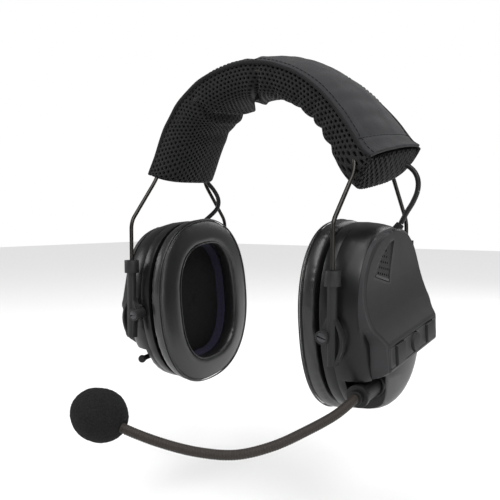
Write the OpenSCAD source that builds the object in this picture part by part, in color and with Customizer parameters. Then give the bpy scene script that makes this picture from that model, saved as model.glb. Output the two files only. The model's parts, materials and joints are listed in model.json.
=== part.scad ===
// Two-cup communication headset: spring-wire headband in a padded sleeve, two
// sliding ear cups, and a gooseneck boom with a foam windscreen.
// Origin: midpoint between the ears, on the cups' tilt axes. +X is the wearer's
// left, where the boom is. -Y is the front. +Z is up.

/* [Headband] */
// Half the distance between the wires' straight legs, left to right
leg_x = 63.5; // [58:0.5:70]
// Half the distance between the front and the rear wire at the cups
leg_y = 43; // [42.6:0.1:44]
// Half the distance between the wires inside the sleeve
sleeve_wire_y = 20; // [16:1:21]
// Spring wire diameter
wire_d = 2.2; // [1.8:0.1:2.4]
// Width of the sleeve, front to back
sleeve_w = 46; // [40:1:52]
// Height of the sleeve's outer edge above the ear axis, at the crown
crown_z = 133; // [125:1:140]
// Thickness of the sleeve from its edge seam to the inner padding
sleeve_t = 21; // [16:1:22]
// How far the outer cover crowns above its edge seams
cover_crown = 4; // [2:0.5:6]

/* [Ear cups] */
// Height of the ear cushion
cushion_h = 96; // [90:1:100]
// Width of the ear cushion, front to back
cushion_w = 80; // [74:1:80]
// Distance from the middle plane to the cushion's face
cushion_face_x = 42; // [38:1:45]
// Height of the opening for the ear
hole_h = 66; // [60:1:70]
// Width of the opening for the ear
hole_w = 48; // [44:1:52]
// Height of the hard shell at its rim
shell_h = 94; // [88:1:96]
// Width of the hard shell at its rim
shell_w = 77.4; // [74:0.2:77.4]
// Shell wall thickness
wall = 2.2; // [1.8:0.1:2.6]
// How far the cup's centre hangs below its tilt axis
cup_drop = 1; // [0:0.5:4]
// How far the cups are pitched, nose down, against the straight wires, in degrees
cup_pitch = 7.5; // [5:0.5:7.5]

/* [Buttons] */
// Distance from one button to the next
button_pitch = 19; // [16:0.5:19]
// Side of the square buttons, and diameter of the round one
button_size = 9; // [7:0.5:10]
// How far the buttons stand out of the panel
button_proud = 1.2; // [0.8:0.1:1.6]

/* [Boom] */
// Diameter of the gooseneck
gooseneck_d = 4.4; // [3.8:0.1:5]
// Diameter of the boom's plug
plug_d = 10; // [9:0.5:11]
// Diameter of the foam windscreen
foam_d = 23; // [20:1:25]
// Length of the foam windscreen
foam_len = 27; // [24:1:30]

/* [Hidden] */
// Smoothness of true round parts
$fn = 48;
// A cut is made this much longer than the wall it goes through
cut = 1;
// Gap between separate pieces that lie face to face
gap = 0.1;
// Radial clearance of a turning or sliding fit
fit = 0.05;

// ---- cup stations, all measured on the +X cup ----
cushion_back_x = 52.5;
plate_back_x = 54.5;
parting_x = 60.3;
pocket_x = 73;
dome_x = 76.5;
baffle_x = 56.5;
oval_n = 2.3;
hole_n = 2.6;
oval_steps = 44;

// ---- tilt axis and slider ----
pivot_x = 59.75;
ear_r = 3.3;
screw_r = 1.45;
screw_head_r = 2.3;
screw_head_t = 1.5;
slider_in_y = 39.4;
slider_out_y = 46.6;
slider_bottom_z = -13.4;
slider_neck_z = 23;
slider_top_z = 30;
slider_cap_r = 4;
slider_tube_r = 2.4;
wire_end_z = 1;
wire_bore_z = -11.6;
// How far the front pivot lies below the rear one, halved
pivot_drop = leg_y * sin(cup_pitch);
bend_z = 46;
bend_run = 4;

// ---- outer panel: the ramp and the button ridge, as (x, z) and (y, z) ----
ridge_x = 85.5;
ridge_z = -6;
facet_bottom_z = -18.5;
panel_profile = [
    [pocket_x, 43.2], [76.8, 43.2], [76.4, 34], [76, 26], [76.2, 18], [77.4, 11], [79.6, 4.5],
    [82.4, -1], [ridge_x, ridge_z], [ridge_x, facet_bottom_z], [83, -20.5], [79, -22.5], [pocket_x, -24]
];
panel_mid_z = 3;
panel_half_w = 35.7;
panel_top = 40;
panel_foot = [[31, ridge_z], [30.4, facet_bottom_z], [29, -24.5]];
button_z = -12.2;
button_t = 3.2;
button_flange = 1;
button_gap = 0.3;
facet_t = 2;

// ---- boom socket and plug, along Y ----
socket_x = 70;
socket_z = -30.8;
socket_r = 6.2;
socket_back_y = -4;
socket_mouth_y = -18;
plug_tip_y = -6;
plug_end_y = -37;
// Open niche in the shell's lower front corner, where the plug lies
niche_x = 64.2;
niche_y = -16.5;
niche_z = -24;
bung_end_y = -33;
boom_route = [
    [70, -32.66, -35.37], [70, -36.58, -36.28], [67.6, -48, -40], [62, -62.5, -44], [54, -76.5, -48.3], [43, -88, -51],
    [30, -97, -50], [15, -104, -47], [0, -109, -43], [-8.7, -111, -39.8]
];
boom_flex_at = 5;
foam_centre = [-14, -112, -38];
mic_r = 4.4;
mic_len = 11;
ball_r = 2.1;
joint_gap = 2.5;

// ---- headband arch: centre line of the wires, as (x, z), right half ----
arch = [[0, 126], [14, 124.5], [29, 119], [41.5, 110.5], [51.5, 99.5], [59, 88], [64, 73]];
// Edge seam of the sleeve at mid width, as (x, z), from the -X end to the +X end
seam = [
    [-70, 79], [-66.5, 85], [-62.5, 94], [-56, 105.5], [-46, 117], [-32, 126], [-16, 131.5], [0, crown_z],
    [16, 131], [32, 125], [46, 115.5], [57, 104.5], [65.5, 94], [71.5, 85.5], [75, 82.5]
];
// Roll of the sleeve about its own length at each seam point, in degrees
sleeve_roll = [4, 4, 4, 4, 4, 4, 5, 5, 6, 7, 8, 9, 11, 12, 13];
cover_t = 2;
mesh_t = 3;
seam_drop = 4;

// ---- cup-to-cup cable ----
cable_d = 2.7;
cable_route = [
    [69.5, 20.77, 45.3], [72.5, 21, 51], [75.5, 21.5, 56], [77.8, 22, 62], [78, 22, 67.5], [75.8, 22, 72.3],
    [71.5, 21, 75.8], [66, 17.5, 77.5], [60, 13, 83], [51, 10, 93], [40, 8, 103.5], [27, 8, 112],
    [14, 8, 116.5], [0, 8, 118], [-14, 8, 116.5], [-27, 8, 112], [-40, 8, 103.5], [-51, 10, 93],
    [-58, 13, 82], [-60.5, 17.5, 75.5], [-61, 22, 70.5], [-59.5, 26, 66], [-58, 28.5, 61],
    [-58.5, 29.5, 56], [-60.5, 27.5, 51.5], [-66.5, 21.91, 44.24]
];
grommet_left = [69.5, 26.5, 42.2];
grommet_right = [66.5, 27.5, 41];

// ================= shapes used by several parts =================

function signed_pow(v, e) = sign(v) * pow(abs(v), e);

// An oval as (y, z) points: half width a, half height b, squareness n
function oval(a, b, n = oval_n, steps = oval_steps, dz = -cup_drop) = [
    for (i = [0:steps - 1])
        let (t = 360 * i / steps)
        [a * signed_pow(cos(t), 2 / n), b * signed_pow(sin(t), 2 / n) + dz]
];

// The same oval standing at x
function oval_ring(x, a, b) = [for (p = oval(a, b)) [x, p[0], p[1]]];

// A closed solid through rings of equally many points; loops back when closed
module skin(rings, closed = false) {
    n = len(rings[0]);
    m = len(rings);
    last = closed ? m - 1 : m - 2;
    sides = [
        for (k = [0:last], i = [0:n - 1], half = [0, 1])
            let (a = k * n, b = ((k + 1) % m) * n, j = (i + 1) % n)
            half == 0 ? [a + i, b + i, b + j] : [a + i, b + j, a + j]
    ];
    caps = closed ? [] : [[for (i = [0:n - 1]) i], [for (i = [n - 1:-1:0]) (m - 1) * n + i]];
    polyhedron(points = [for (r = rings, p = r) p], faces = concat(sides, caps));
}

// A (y, z) outline pushed along X from x0 to x1
module along_x(x0, x1) {
    translate([x0, 0, 0]) rotate([90, 0, 90]) linear_extrude(x1 - x0) children();
}

// An (x, z) outline pushed along Y from y0 to y1
module along_y(y0, y1) {
    translate([0, y1, 0]) rotate([90, 0, 0]) linear_extrude(y1 - y0) children();
}

module rod_x(x0, x1, r, y = 0, z = 0) {
    translate([x0, y, z]) rotate([0, 90, 0]) cylinder(h = x1 - x0, r = r);
}

module rod_y(y0, y1, r, x, z) {
    translate([x, y1, z]) rotate([90, 0, 0]) cylinder(h = y1 - y0, r = r);
}

// Drawn for +X and mirrored for -X
module mirrored(s) {
    if (s > 0) children(); else mirror([1, 0, 0]) children();
}

// A cup part is drawn upright for +X, mirrored for -X, and pitched about X
module cup_side(s) {
    rotate([cup_pitch, 0, 0]) mirrored(s) children();
}

module wire_side(s) {
    if (s < 0) children(); else mirror([0, 1, 0]) children();
}

// ---- tubes that follow a route ----

function unit(v) = v / norm(v);

// Point between b and c on the smooth curve through a, b, c, d
function curve_point(a, b, c, d, t) =
    0.5 * (2 * b + (c - a) * t + (2 * a - 5 * b + 4 * c - d) * t * t + (3 * b - a - 3 * c + d) * t * t * t);

function smooth(route, steps) = concat(
    [for (i = [0:len(route) - 2], s = [0:steps - 1])
        curve_point(route[max(i - 1, 0)], route[i], route[i + 1], route[min(i + 2, len(route) - 1)], s / steps)],
    [route[len(route) - 1]]
);

function heading(path, i) = unit(path[min(i + 1, len(path) - 1)] - path[max(i - 1, 0)]);

// Sideways direction carried along the path without twisting
function carried(path, i = 0, side = undef, out = []) =
    i == len(path) ? out
    : let (
        h = heading(path, i),
        seed = is_undef(side) ? cross(h, abs(h[2]) < 0.9 ? [0, 0, 1] : [0, 1, 0]) : side,
        flat = unit(seed - h * (seed * h))
    ) carried(path, i + 1, flat, concat(out, [flat]));

module tube_along(path, r, sides = 8) {
    across = carried(path);
    skin([
        for (i = [0:len(path) - 1])
            let (u = across[i], v = cross(heading(path, i), u))
            [for (k = [0:sides - 1]) path[i] + r * (cos(360 * k / sides) * u + sin(360 * k / sides) * v)]
    ]);
}

// ================= headband =================

// Arc-like corner of a route from a to c, with its corner at b
function bend(a, b, c, steps = 4) = [
    for (k = [0:steps]) let (t = k / steps) a * (1 - t) * (1 - t) + 2 * b * t * (1 - t) + c * t * t
];

// Half of a spring wire's route: up from the straight leg, in to the sleeve, to the crown
function wire_half(s, y_side) =
    let (
        leg = [s * leg_x, y_side * leg_y, bend_z],
        over = [for (p = arch) [s * p[0], y_side * sleeve_wire_y, p[1]]],
        entry = over[len(over) - 1],
        lean = unit(entry - leg)
    ) concat(
        bend(leg - [0, 0, bend_run], leg, leg + bend_run * lean),
        bend(entry - 2 * bend_run * lean, entry, (entry + over[len(over) - 2]) / 2),
        [for (i = [len(over) - 2:-1:1]) over[i]]
    );

// One spring wire: two straight legs, a bend at each, and the arch in the sleeve
module spring_wire(y_side) {
    right_half = wire_half(-1, y_side);
    left_half = wire_half(1, y_side);
    tube_along(concat(
        right_half, [[0, y_side * sleeve_wire_y, arch[0][1]]], [for (i = [len(left_half) - 1:-1:0]) left_half[i]]
    ), wire_d / 2 - gap / 2, 10);
    for (s = [-1, 1])
        translate([s * leg_x, y_side * leg_y, wire_end_z + y_side * pivot_drop])
            cylinder(h = bend_z - bend_run + 0.4 - wire_end_z - y_side * pivot_drop, r = wire_d / 2);
}

module front_wire() { color("#4a4642") spring_wire(-1); }
module rear_wire() { color("#4a4642") spring_wire(1); }

// Direction out of the arch at seam point i, in the XZ plane
function seam_out(i) =
    let (d = unit(seam[min(i + 1, len(seam) - 1)] - seam[max(i - 1, 0)])) [-d[1], d[0]];

// Point of the sleeve section at seam point i: v across the width, w outwards
function sleeve_point(i, v, w) =
    let (
        o = seam_out(i), a = sleeve_roll[i],
        lift = v * sin(a) + w * cos(a), side = v * cos(a) - w * sin(a)
    ) [seam[i][0] + lift * o[0], side, seam[i][1] + lift * o[1]];

// A layer of the sleeve between two section lines, each a list of (v, w)
module sleeve_layer(section, first = 0, last = len(seam) - 1) {
    skin([for (i = [last:-1:first]) [for (p = section) sleeve_point(i, p[0], p[1])]]);
}

half_w = sleeve_w / 2;
function crown_line(t, inset, steps = 6) = [
    for (k = [0:steps]) let (v = -1 + 2 * k / steps) [v * (half_w - inset), cover_crown * (1 - v * v) - t]
];
function belly_line(t, inset) = [
    [half_w - inset, -seam_drop - 3], [half_w - 4 - t, -sleeve_t * 0.75 + t], [half_w - 10, -sleeve_t + t],
    [-half_w + 10, -sleeve_t + t], [-half_w + 4 + t, -sleeve_t * 0.75 + t], [-half_w + inset, -seam_drop - 3]
];

// Woven outer cover: a crowned sheet with its edges turned down at the seams
module head_cover() {
    color("#1c1c1e") sleeve_layer(concat(
        [[-half_w, -seam_drop]], crown_line(0, 0), [[half_w, -seam_drop], [half_w - cover_t, -seam_drop]],
        [for (k = [6:-1:0]) crown_line(cover_t, cover_t)[k]], [[-half_w + cover_t, -seam_drop]]
    ));
}

// Foam pad round the two wires
module head_pad() {
    color("#2b2b2d") sleeve_layer(concat(
        crown_line(cover_t + gap, cover_t + gap),
        [for (p = belly_line(mesh_t + gap, cover_t + 1)) p]
    ));
}

// Spacer mesh that lines the inner side of the pad
module head_mesh_liner() {
    inner = belly_line(mesh_t, cover_t + 0.9);
    color("#161617") sleeve_layer(concat(
        belly_line(0, 0), [for (i = [len(inner) - 1:-1:0]) inner[i]]
    ));
}

module cup_cable() { color("#151515") tube_along(smooth(cable_route, 3), cable_d / 2); }

// ================= sliders =================

// Lens-shaped outline that bulges towards +X between two heights
function lens(x0, z0, z1, bulge, steps = 10) = [
    for (k = [0:steps]) [x0 + bulge * sin(180 * k / steps), z0 + (z1 - z0) * k / steps]
];

// Slider for the front wire of the +X cup: cap, neck, body with a sprung leaf, and a
// pivot ear. It sits lower on the front wire than on the rear one, because the cup is pitched
module slider(front) {
    drop = [0, 0, -front * pivot_drop];
    tilt = [front * cup_pitch, 0, 0];
    leaf_t = 3.4;
    difference() {
        union() {
            translate(drop) {
                translate([leg_x, -leg_y, slider_neck_z]) cylinder(h = slider_top_z - slider_neck_z, r = slider_cap_r);
                translate([leg_x, -leg_y, slider_bottom_z])
                    cylinder(h = slider_neck_z - slider_bottom_z + cut, r = slider_tube_r);
                // Web from the tube down past the ear
                along_y(-leg_y - leaf_t / 2, -leg_y + leaf_t / 2)
                    polygon([[leg_x, 9], [leg_x - 2, 9], [pivot_x - 1, 3], [pivot_x + 1, -5], [leg_x - 2.4, -11.5],
                        [leg_x - 2.4, slider_bottom_z], [leg_x, slider_bottom_z]]);
                // Leaf spring beside the tube
                along_y(-leg_y - leaf_t / 2, -leg_y + leaf_t / 2) difference() {
                    polygon(concat(
                        [[leg_x + 1, 9]], lens(leg_x + 2.2, 8, slider_bottom_z, 4), [[leg_x + 1, slider_bottom_z]]
                    ));
                    polygon(lens(leg_x + 2.4, 6, slider_bottom_z + 2.5, 2.4));
                }
            }
            rotate(tilt) rod_y(-slider_out_y, -slider_in_y, ear_r, pivot_x, 0);
        }
        translate([leg_x, -leg_y, wire_bore_z] + drop)
            cylinder(h = slider_top_z - wire_bore_z + cut, r = wire_d / 2 + fit);
        rotate(tilt) rod_y(-slider_out_y - cut, -slider_in_y + cut, screw_r + fit, pivot_x, 0);
        rotate(tilt) rod_y(-slider_out_y - cut, -slider_out_y + screw_head_t + gap, screw_head_r + fit, pivot_x, 0);
    }
}

module left_front_slider() { color("#2a2a2b") slider(1); }
module left_rear_slider() { color("#2a2a2b") wire_side(1) slider(-1); }
module right_front_slider() { color("#2a2a2b") mirrored(-1) slider(1); }
module right_rear_slider() { color("#2a2a2b") mirrored(-1) wire_side(1) slider(-1); }

// ================= ear cups =================

// Cushion section: x, and how far from the opening (0) to the outside (1)
cushion_section = [
    [cushion_back_x, 0.1], [50.5, 0], [46, 0.02], [43.4, 0.16], [cushion_face_x + 0.2, 0.36],
    [cushion_face_x, 0.5], [cushion_face_x + 0.4, 0.7], [43.8, 0.9], [46.5, 1], [51, 0.99], [cushion_back_x, 0.94]
];

module ear_cushion() {
    outside = oval(cushion_w / 2, cushion_h / 2);
    opening = oval(hole_w / 2, hole_h / 2, hole_n);
    color("#1a1a1a") skin([
        for (i = [oval_steps - 1:-1:0])
            [for (p = cushion_section) let (q = opening[i] * (1 - p[1]) + outside[i] * p[1]) [p[0], q[0], q[1]]]
    ], closed = true);
}

module cushion_plate() {
    color("#0c0c0c") along_x(cushion_back_x + gap, plate_back_x - gap) difference() {
        polygon(oval(shell_w / 2 - 3.5, shell_h / 2 - 3.5));
        polygon(oval(hole_w / 2 + 2, hole_h / 2 + 2, hole_n));
    }
}

// Thin cloth over foam that covers the speaker side of the ear space
module ear_liner() {
    color("#1d1b26") along_x(plate_back_x - 1.6, baffle_x - gap)
        polygon(oval(hole_w / 2 + 1.4, hole_h / 2 + 1.4, hole_n));
}

// Inner half of the shell: a rim with bosses for the tilt screws
module inner_shell() {
    boss_y = shell_w / 2;
    boss_in = 7;
    color("#232323") difference() {
        union() {
            along_x(plate_back_x, parting_x - gap) difference() {
                polygon(oval(shell_w / 2, shell_h / 2));
                polygon(oval(shell_w / 2 - wall, shell_h / 2 - wall));
            }
            for (s = [-1, 1]) translate([(56.2 + 63.2) / 2, s * (boss_y - boss_in / 2 - 0.6), 0])
                cube([7, boss_in, 8], center = true);
        }
        rod_y(-shell_w, shell_w, screw_r + fit, pivot_x, 0);
    }
}

shell_stations = [
    [parting_x, 0, 0], [66, 0.5, 0.6], [70, 1.3, 1.6], [72.2, 2.1, 2.6], [74, 3.1, 4], [75.4, 5, 6.4], [76.2, 8, 10],
    [dome_x, 13, 16]
];

// Solid dome of the outer half, shrunk by the given wall and shifted inwards
module dome(inset, shift) {
    skin([for (s = shell_stations) oval_ring(s[0] - shift, shell_w / 2 - s[1] - inset, shell_h / 2 - s[2] - inset)]);
}

// Outline of the outer panel as (y, z), drawn smaller by inset
function panel_outline(inset) = concat(
    [for (k = [0:16]) let (t = 180 * k / 16)
        [(panel_half_w - inset) * signed_pow(cos(t), 2 / oval_n),
         (panel_top - inset) * signed_pow(sin(t), 2 / oval_n) + panel_mid_z]],
    [for (p = panel_foot) [-p[0] + inset, p[1]]],
    [for (i = [len(panel_foot) - 1:-1:0]) [panel_foot[i][0] - inset, panel_foot[i][1]]]
);

module niche(thick) {
    translate([niche_x - thick, niche_y + thick - shell_w, niche_z + thick - shell_h]) cube([shell_w, shell_w, shell_h]);
}

module outer_shell() {
    color("#262626") difference() {
        dome(0, 0);
        difference() {
            dome(wall, wall);
            niche(wall);
        }
        niche(0);
        along_x(pocket_x, ridge_x) polygon(panel_outline(-gap));
        for (s = [-1, 1]) translate([pivot_x, s * shell_w / 2, 0]) cube([7.6, 17, 8.8], center = true);
        rod_y(-shell_w, socket_back_y + gap, socket_r + gap, socket_x, socket_z);
    }
}

module panel_block(inset, shift, floor_z) {
    intersection() {
        along_x(pocket_x - cut, ridge_x + cut) polygon(panel_outline(inset));
        translate([-shift, 0, 0]) along_y(-panel_half_w - cut, panel_half_w + cut) polygon(panel_profile);
        translate([pocket_x + gap - shift, -panel_half_w - cut, floor_z]) cube([20, 2 * panel_half_w + 2 * cut, 80]);
    }
}

badge_face_x = 76.2;
badge_outline = [[-1, 37], [-6, 35.6], [-12.5, 31.8], [-18, 27], [-22, 22.6], [-8, 19.4]];

// Outer panel: a hollow plateau that ramps out to the ridge with the button facet
module panel(with_buttons) {
    color("#333333") difference() {
        panel_block(0, 0, -40);
        panel_block(wall, wall, facet_bottom_z + wall);
        if (with_buttons) {
            for (s = [-1, 1])
                translate([ridge_x, s * button_pitch, button_z])
                    cube([4 * facet_t, button_size + 2 * button_gap, button_size + 2 * button_gap], center = true);
            rod_x(ridge_x - 2 * facet_t, ridge_x + cut, button_size / 2 + button_gap, 0, button_z);
        }
        along_x(badge_face_x - 1, ridge_x) polygon(badge_outline);
    }
}

// Triangular plate with holes over the ambient microphone, sunk in the panel
module panel_badge() {
    color("#101010") difference() {
        along_x(badge_face_x - 1, badge_face_x - 0.5) translate([-9.5, 27.5]) scale(0.94)
            translate([9.5, -27.5]) polygon(badge_outline);
        for (row = [0:3], col = [0:3 - row])
            rod_x(badge_face_x - 2, badge_face_x, 0.6, -17.5 + 3.2 * col + 1.6 * row, 23.2 + 3 * row);
    }
}

screw_places = [[-22, 29], [22, 29], [-28, -20], [28, -20]];
shell_screw_r = 1.25;

// Sound holes in the baffle, as rings of [radius, count]
baffle_rings = [[0, 1], [6, 9], [12, 12]];

// Plate that carries the speaker, with sound holes behind the liner
module baffle() {
    color("#303030") difference() {
        along_x(baffle_x, baffle_x + 2) polygon(oval(shell_w / 2 - wall - 0.4, shell_h / 2 - wall - 0.4));
        for (s = [-1, 1]) translate([baffle_x + 1, s * shell_w / 2, 0]) cube([6, 17, 9], center = true);
        for (ring = baffle_rings, k = [0:ring[1] - 1])
            let (t = 360 * k / ring[1])
            rod_x(baffle_x - cut, baffle_x + 3, 1.2, ring[0] * cos(t), ring[0] * sin(t));
        for (p = screw_places) rod_x(baffle_x - cut, baffle_x + 3, shell_screw_r + fit, p[0], p[1]);
    }
}

speaker_r = 20;
module speaker() {
    color("#8a8a8e") difference() {
        union() {
            rod_x(baffle_x + 2 + gap, baffle_x + 4, speaker_r);
            rod_x(baffle_x + 3.9, baffle_x + 6.6, speaker_r - 5);
        }
        rod_x(baffle_x + 2, baffle_x + 5.2, speaker_r - 6.5);
    }
}

module speaker_magnet() { color("#5c5c60") rod_x(baffle_x + 6.7, baffle_x + 10.6, 10); }

module board(x, t, y0, z0, w, h) {
    translate([x, y0, z0]) cube([t, w, h]);
}

module shell_screws() {
    color("#77777a") for (p = screw_places) {
        rod_x(baffle_x - 1.3, baffle_x - gap, 2.6, p[0], p[1]);
        rod_x(baffle_x - 0.2, baffle_x + 9, shell_screw_r, p[0], p[1]);
    }
}

// Tilt screws through the sliders' ears into the rim
module pivot_screws() {
    color("#3c3c3e") for (s = [-1, 1]) wire_side(s) difference() {
        union() {
            rod_y(-slider_out_y, -slider_out_y + screw_head_t, screw_head_r, pivot_x, 0);
            rod_y(-slider_out_y + screw_head_t / 2, -shell_w / 2 + 6, screw_r, pivot_x, 0);
        }
        translate([pivot_x, -slider_out_y, 0]) rotate([0, 15, 0]) cube([5, 1.2, 0.7], center = true);
    }
}

// Tapered strain relief where the cable goes into the top of the cup
module grommet(at, lean) {
    sleeve_len = 7;
    color("#141414") translate(at) rotate(lean) translate([0, 0, -sleeve_len]) difference() {
        union() {
            cylinder(h = sleeve_len - 4 * gap, r1 = 3, r2 = 2.1);
            translate([0, 0, -1.4]) cylinder(h = 2.4, r = 4);
        }
        translate([0, 0, -2]) cylinder(h = sleeve_len + cut + 2, r = 0.9);
    }
}

module boom_socket() {
    color("#1b1b1b") difference() {
        rod_y(socket_mouth_y, socket_back_y, socket_r, socket_x, socket_z);
        rod_y(socket_mouth_y - cut, socket_back_y - 1.8, plug_d / 2 + fit, socket_x, socket_z);
    }
}

module left_ear_cushion() { cup_side(1) ear_cushion(); }
module right_ear_cushion() { cup_side(-1) ear_cushion(); }
module left_cushion_plate() { cup_side(1) cushion_plate(); }
module right_cushion_plate() { cup_side(-1) cushion_plate(); }
module left_ear_liner() { cup_side(1) ear_liner(); }
module right_ear_liner() { cup_side(-1) ear_liner(); }
module left_inner_shell() { cup_side(1) inner_shell(); }
module right_inner_shell() { cup_side(-1) inner_shell(); }
module left_outer_shell() { cup_side(1) outer_shell(); }
module right_outer_shell() { cup_side(-1) outer_shell(); }
module left_panel() { cup_side(1) panel(true); }
module right_panel() { cup_side(-1) panel(false); }
module left_panel_badge() { cup_side(1) panel_badge(); }
module right_panel_badge() { cup_side(-1) panel_badge(); }
module left_baffle() { cup_side(1) baffle(); }
module right_baffle() { cup_side(-1) baffle(); }
module left_speaker() { cup_side(1) speaker(); }
module right_speaker() { cup_side(-1) speaker(); }
module left_speaker_magnet() { cup_side(1) speaker_magnet(); }
module right_speaker_magnet() { cup_side(-1) speaker_magnet(); }
module left_shell_screws() { cup_side(1) shell_screws(); }
module right_shell_screws() { cup_side(-1) shell_screws(); }
module left_pivot_screws() { cup_side(1) pivot_screws(); }
module right_pivot_screws() { cup_side(-1) pivot_screws(); }
module left_cable_grommet() { cup_side(1) grommet(grommet_left, [-12.5, 34, 0]); }
module right_cable_grommet() { cup_side(-1) grommet(grommet_right, [-36.4, -42.8, 0]); }
module left_boom_socket() { cup_side(1) boom_socket(); }
module right_boom_socket() { cup_side(-1) boom_socket(); }

// Rubber bung in the socket that no boom uses, with a knob to pull it by
module right_socket_plug() {
    color("#0e0e0e") cup_side(-1) {
        rod_y(socket_mouth_y - 1, socket_back_y - 4, plug_d / 2 - 0.1, socket_x, socket_z);
        rod_y(socket_mouth_y - 3, socket_mouth_y - gap, socket_r - 0.2, socket_x, socket_z);
        rod_y(bung_end_y, socket_mouth_y - 2, 1.5, socket_x, socket_z);
        translate([socket_x, bung_end_y, socket_z]) sphere(r = 2.3);
    }
}

module left_radio_board() { color("#1f5a33") cup_side(1) board(69, 1.4, -20, 4, 40, 26); }
module left_button_board() {
    color("#1f5a33") cup_side(1) {
        board(78.6, 1.2, -25, button_z - 4, 50, 8);
        for (s = [-1:1]) rod_x(79.7, 80.4, 1.6, s * button_pitch, button_z);
    }
}
module right_battery() { color("#3b4a66") cup_side(-1) board(67.6, 4.6, -17, -2, 34, 30); }
module right_charge_board() { color("#1f5a33") cup_side(-1) board(70, 1.4, -12, -21, 30, 14); }

// ================= buttons =================

// Flange and stem of a key, inside the panel
module key_back(y) {
    back_x = ridge_x - wall - button_flange - button_gap;
    translate([back_x, y - button_size / 2 - 1, button_z - button_size / 2 + 0.6])
        cube([button_flange, button_size + 2, button_size - 1.2]);
    rod_x(back_x - 0.6, back_x + 0.2, 1.4, y, button_z);
}

module square_button(y) {
    color("#1e1e1e") {
        translate([ridge_x + button_proud - button_t - 0.6, y - button_size / 2, button_z - button_size / 2])
            cube([button_t + 0.6, button_size, button_size]);
        key_back(y);
    }
}
module front_button() { cup_side(1) square_button(-button_pitch); }
module rear_button() { cup_side(1) square_button(button_pitch); }
module middle_button() {
    color("#1e1e1e") cup_side(1) {
        rod_x(ridge_x + button_proud - button_t - 0.6, ridge_x + button_proud, button_size / 2, 0, button_z);
        key_back(0);
    }
}

// ================= boom =================

boom_path = smooth(boom_route, 4);
flex_i = boom_flex_at * 4;
flex_point = boom_path[flex_i];

function shortened_end(path, d) =
    let (a = path[len(path) - 2], b = path[len(path) - 1]) b - d * unit(b - a);

function part_of(path, first, last) = [for (i = [first:last]) path[i]];

module boom_plug() {
    color("#181818") cup_side(1) {
        rod_y(plug_end_y + 2.5, plug_tip_y, plug_d / 2, socket_x, socket_z);
        rod_y(plug_end_y + 2.4, plug_end_y + 5.5, plug_d / 2 + 0.5, socket_x, socket_z);
    }
}

// Ring that clamps the gooseneck in the plug
module boom_collar() {
    color("#101010") cup_side(1) rod_y(plug_end_y, plug_end_y + 2.4, plug_d / 2 - 1.6, socket_x, socket_z);
}

module gooseneck_inner() {
    run = part_of(boom_path, 0, flex_i);
    stop = shortened_end(run, joint_gap);
    color("#2b2826") tube_along(concat(part_of(run, 0, flex_i - 1), [stop]), gooseneck_d / 2);
}

module gooseneck_outer() {
    color("#2b2826") tube_along(part_of(boom_path, flex_i, len(boom_path) - 1), gooseneck_d / 2);
}

module flex_ball() {
    color("#2b2826") translate(flex_point) intersection() {
        sphere(r = ball_r);
        cylinder(h = 3 * ball_r, r = 0.92 * ball_r, center = true);
    }
}

// Turns +Z to the way the boom points at its end
boom_end = boom_path[len(boom_path) - 1];
foam_dir = unit(foam_centre - boom_end);
module at_foam() {
    translate(foam_centre) rotate([0, acos(foam_dir[2]), atan2(foam_dir[1], foam_dir[0])]) children();
}

module mic_capsule() { color("#3a3a3a") at_foam() translate([0, 0, -5.5]) cylinder(h = mic_len, r = mic_r); }

foam_steps = 14;
foam_bore = 2.9;
foam_outline = [
    for (k = [0:foam_steps])
        let (a = 180 * k / foam_steps, u = -cos(a))
        [foam_d / 2 * sin(a) * (1 + 0.06 * u), foam_len / 2 * u]
];
module foam_windscreen() {
    color("#121212") at_foam() difference() {
        rotate_extrude() polygon(foam_outline);
        translate([0, 0, -5.5 - gap]) cylinder(h = mic_len + 2 * gap, r = mic_r + gap);
        translate([0, 0, -foam_len]) cylinder(h = foam_len, r = foam_bore);
    }
}

front_wire();
rear_wire();
head_pad();
head_mesh_liner();
head_cover();
cup_cable();
left_front_slider();
left_rear_slider();
right_front_slider();
right_rear_slider();
left_ear_cushion();
left_cushion_plate();
left_ear_liner();
left_inner_shell();
left_outer_shell();
left_panel();
left_panel_badge();
left_baffle();
left_speaker();
left_speaker_magnet();
left_radio_board();
left_button_board();
left_shell_screws();
left_pivot_screws();
left_cable_grommet();
left_boom_socket();
right_ear_cushion();
right_cushion_plate();
right_ear_liner();
right_inner_shell();
right_outer_shell();
right_panel();
right_panel_badge();
right_baffle();
right_speaker();
right_speaker_magnet();
right_battery();
right_charge_board();
right_shell_screws();
right_pivot_screws();
right_cable_grommet();
right_boom_socket();
right_socket_plug();
front_button();
middle_button();
rear_button();
boom_plug();
boom_collar();
gooseneck_inner();
gooseneck_outer();
flex_ball();
mic_capsule();
foam_windscreen();
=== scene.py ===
# %% [markdown]
# # A two-cup communication headset, built as a lesson
#
# The real thing is two deep ear cups on a pair of spring wires that run through
# a padded sleeve, with three keys on the wearer's left cup and a gooseneck
# microphone. The measured parts are already packed as a CAD frame. This lesson
# adds what CAD leaves out: padded leatherette, a knitted spacer net, woven
# nylon, a ribbed gooseneck, open foam and moulded plastic.
#
# The frame is loaded first, because every piece takes its place from it.

# %% Load the frame
import json
import math

import bmesh
import bpy
import numpy as np
from mathutils import Matrix, Vector, noise

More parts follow.
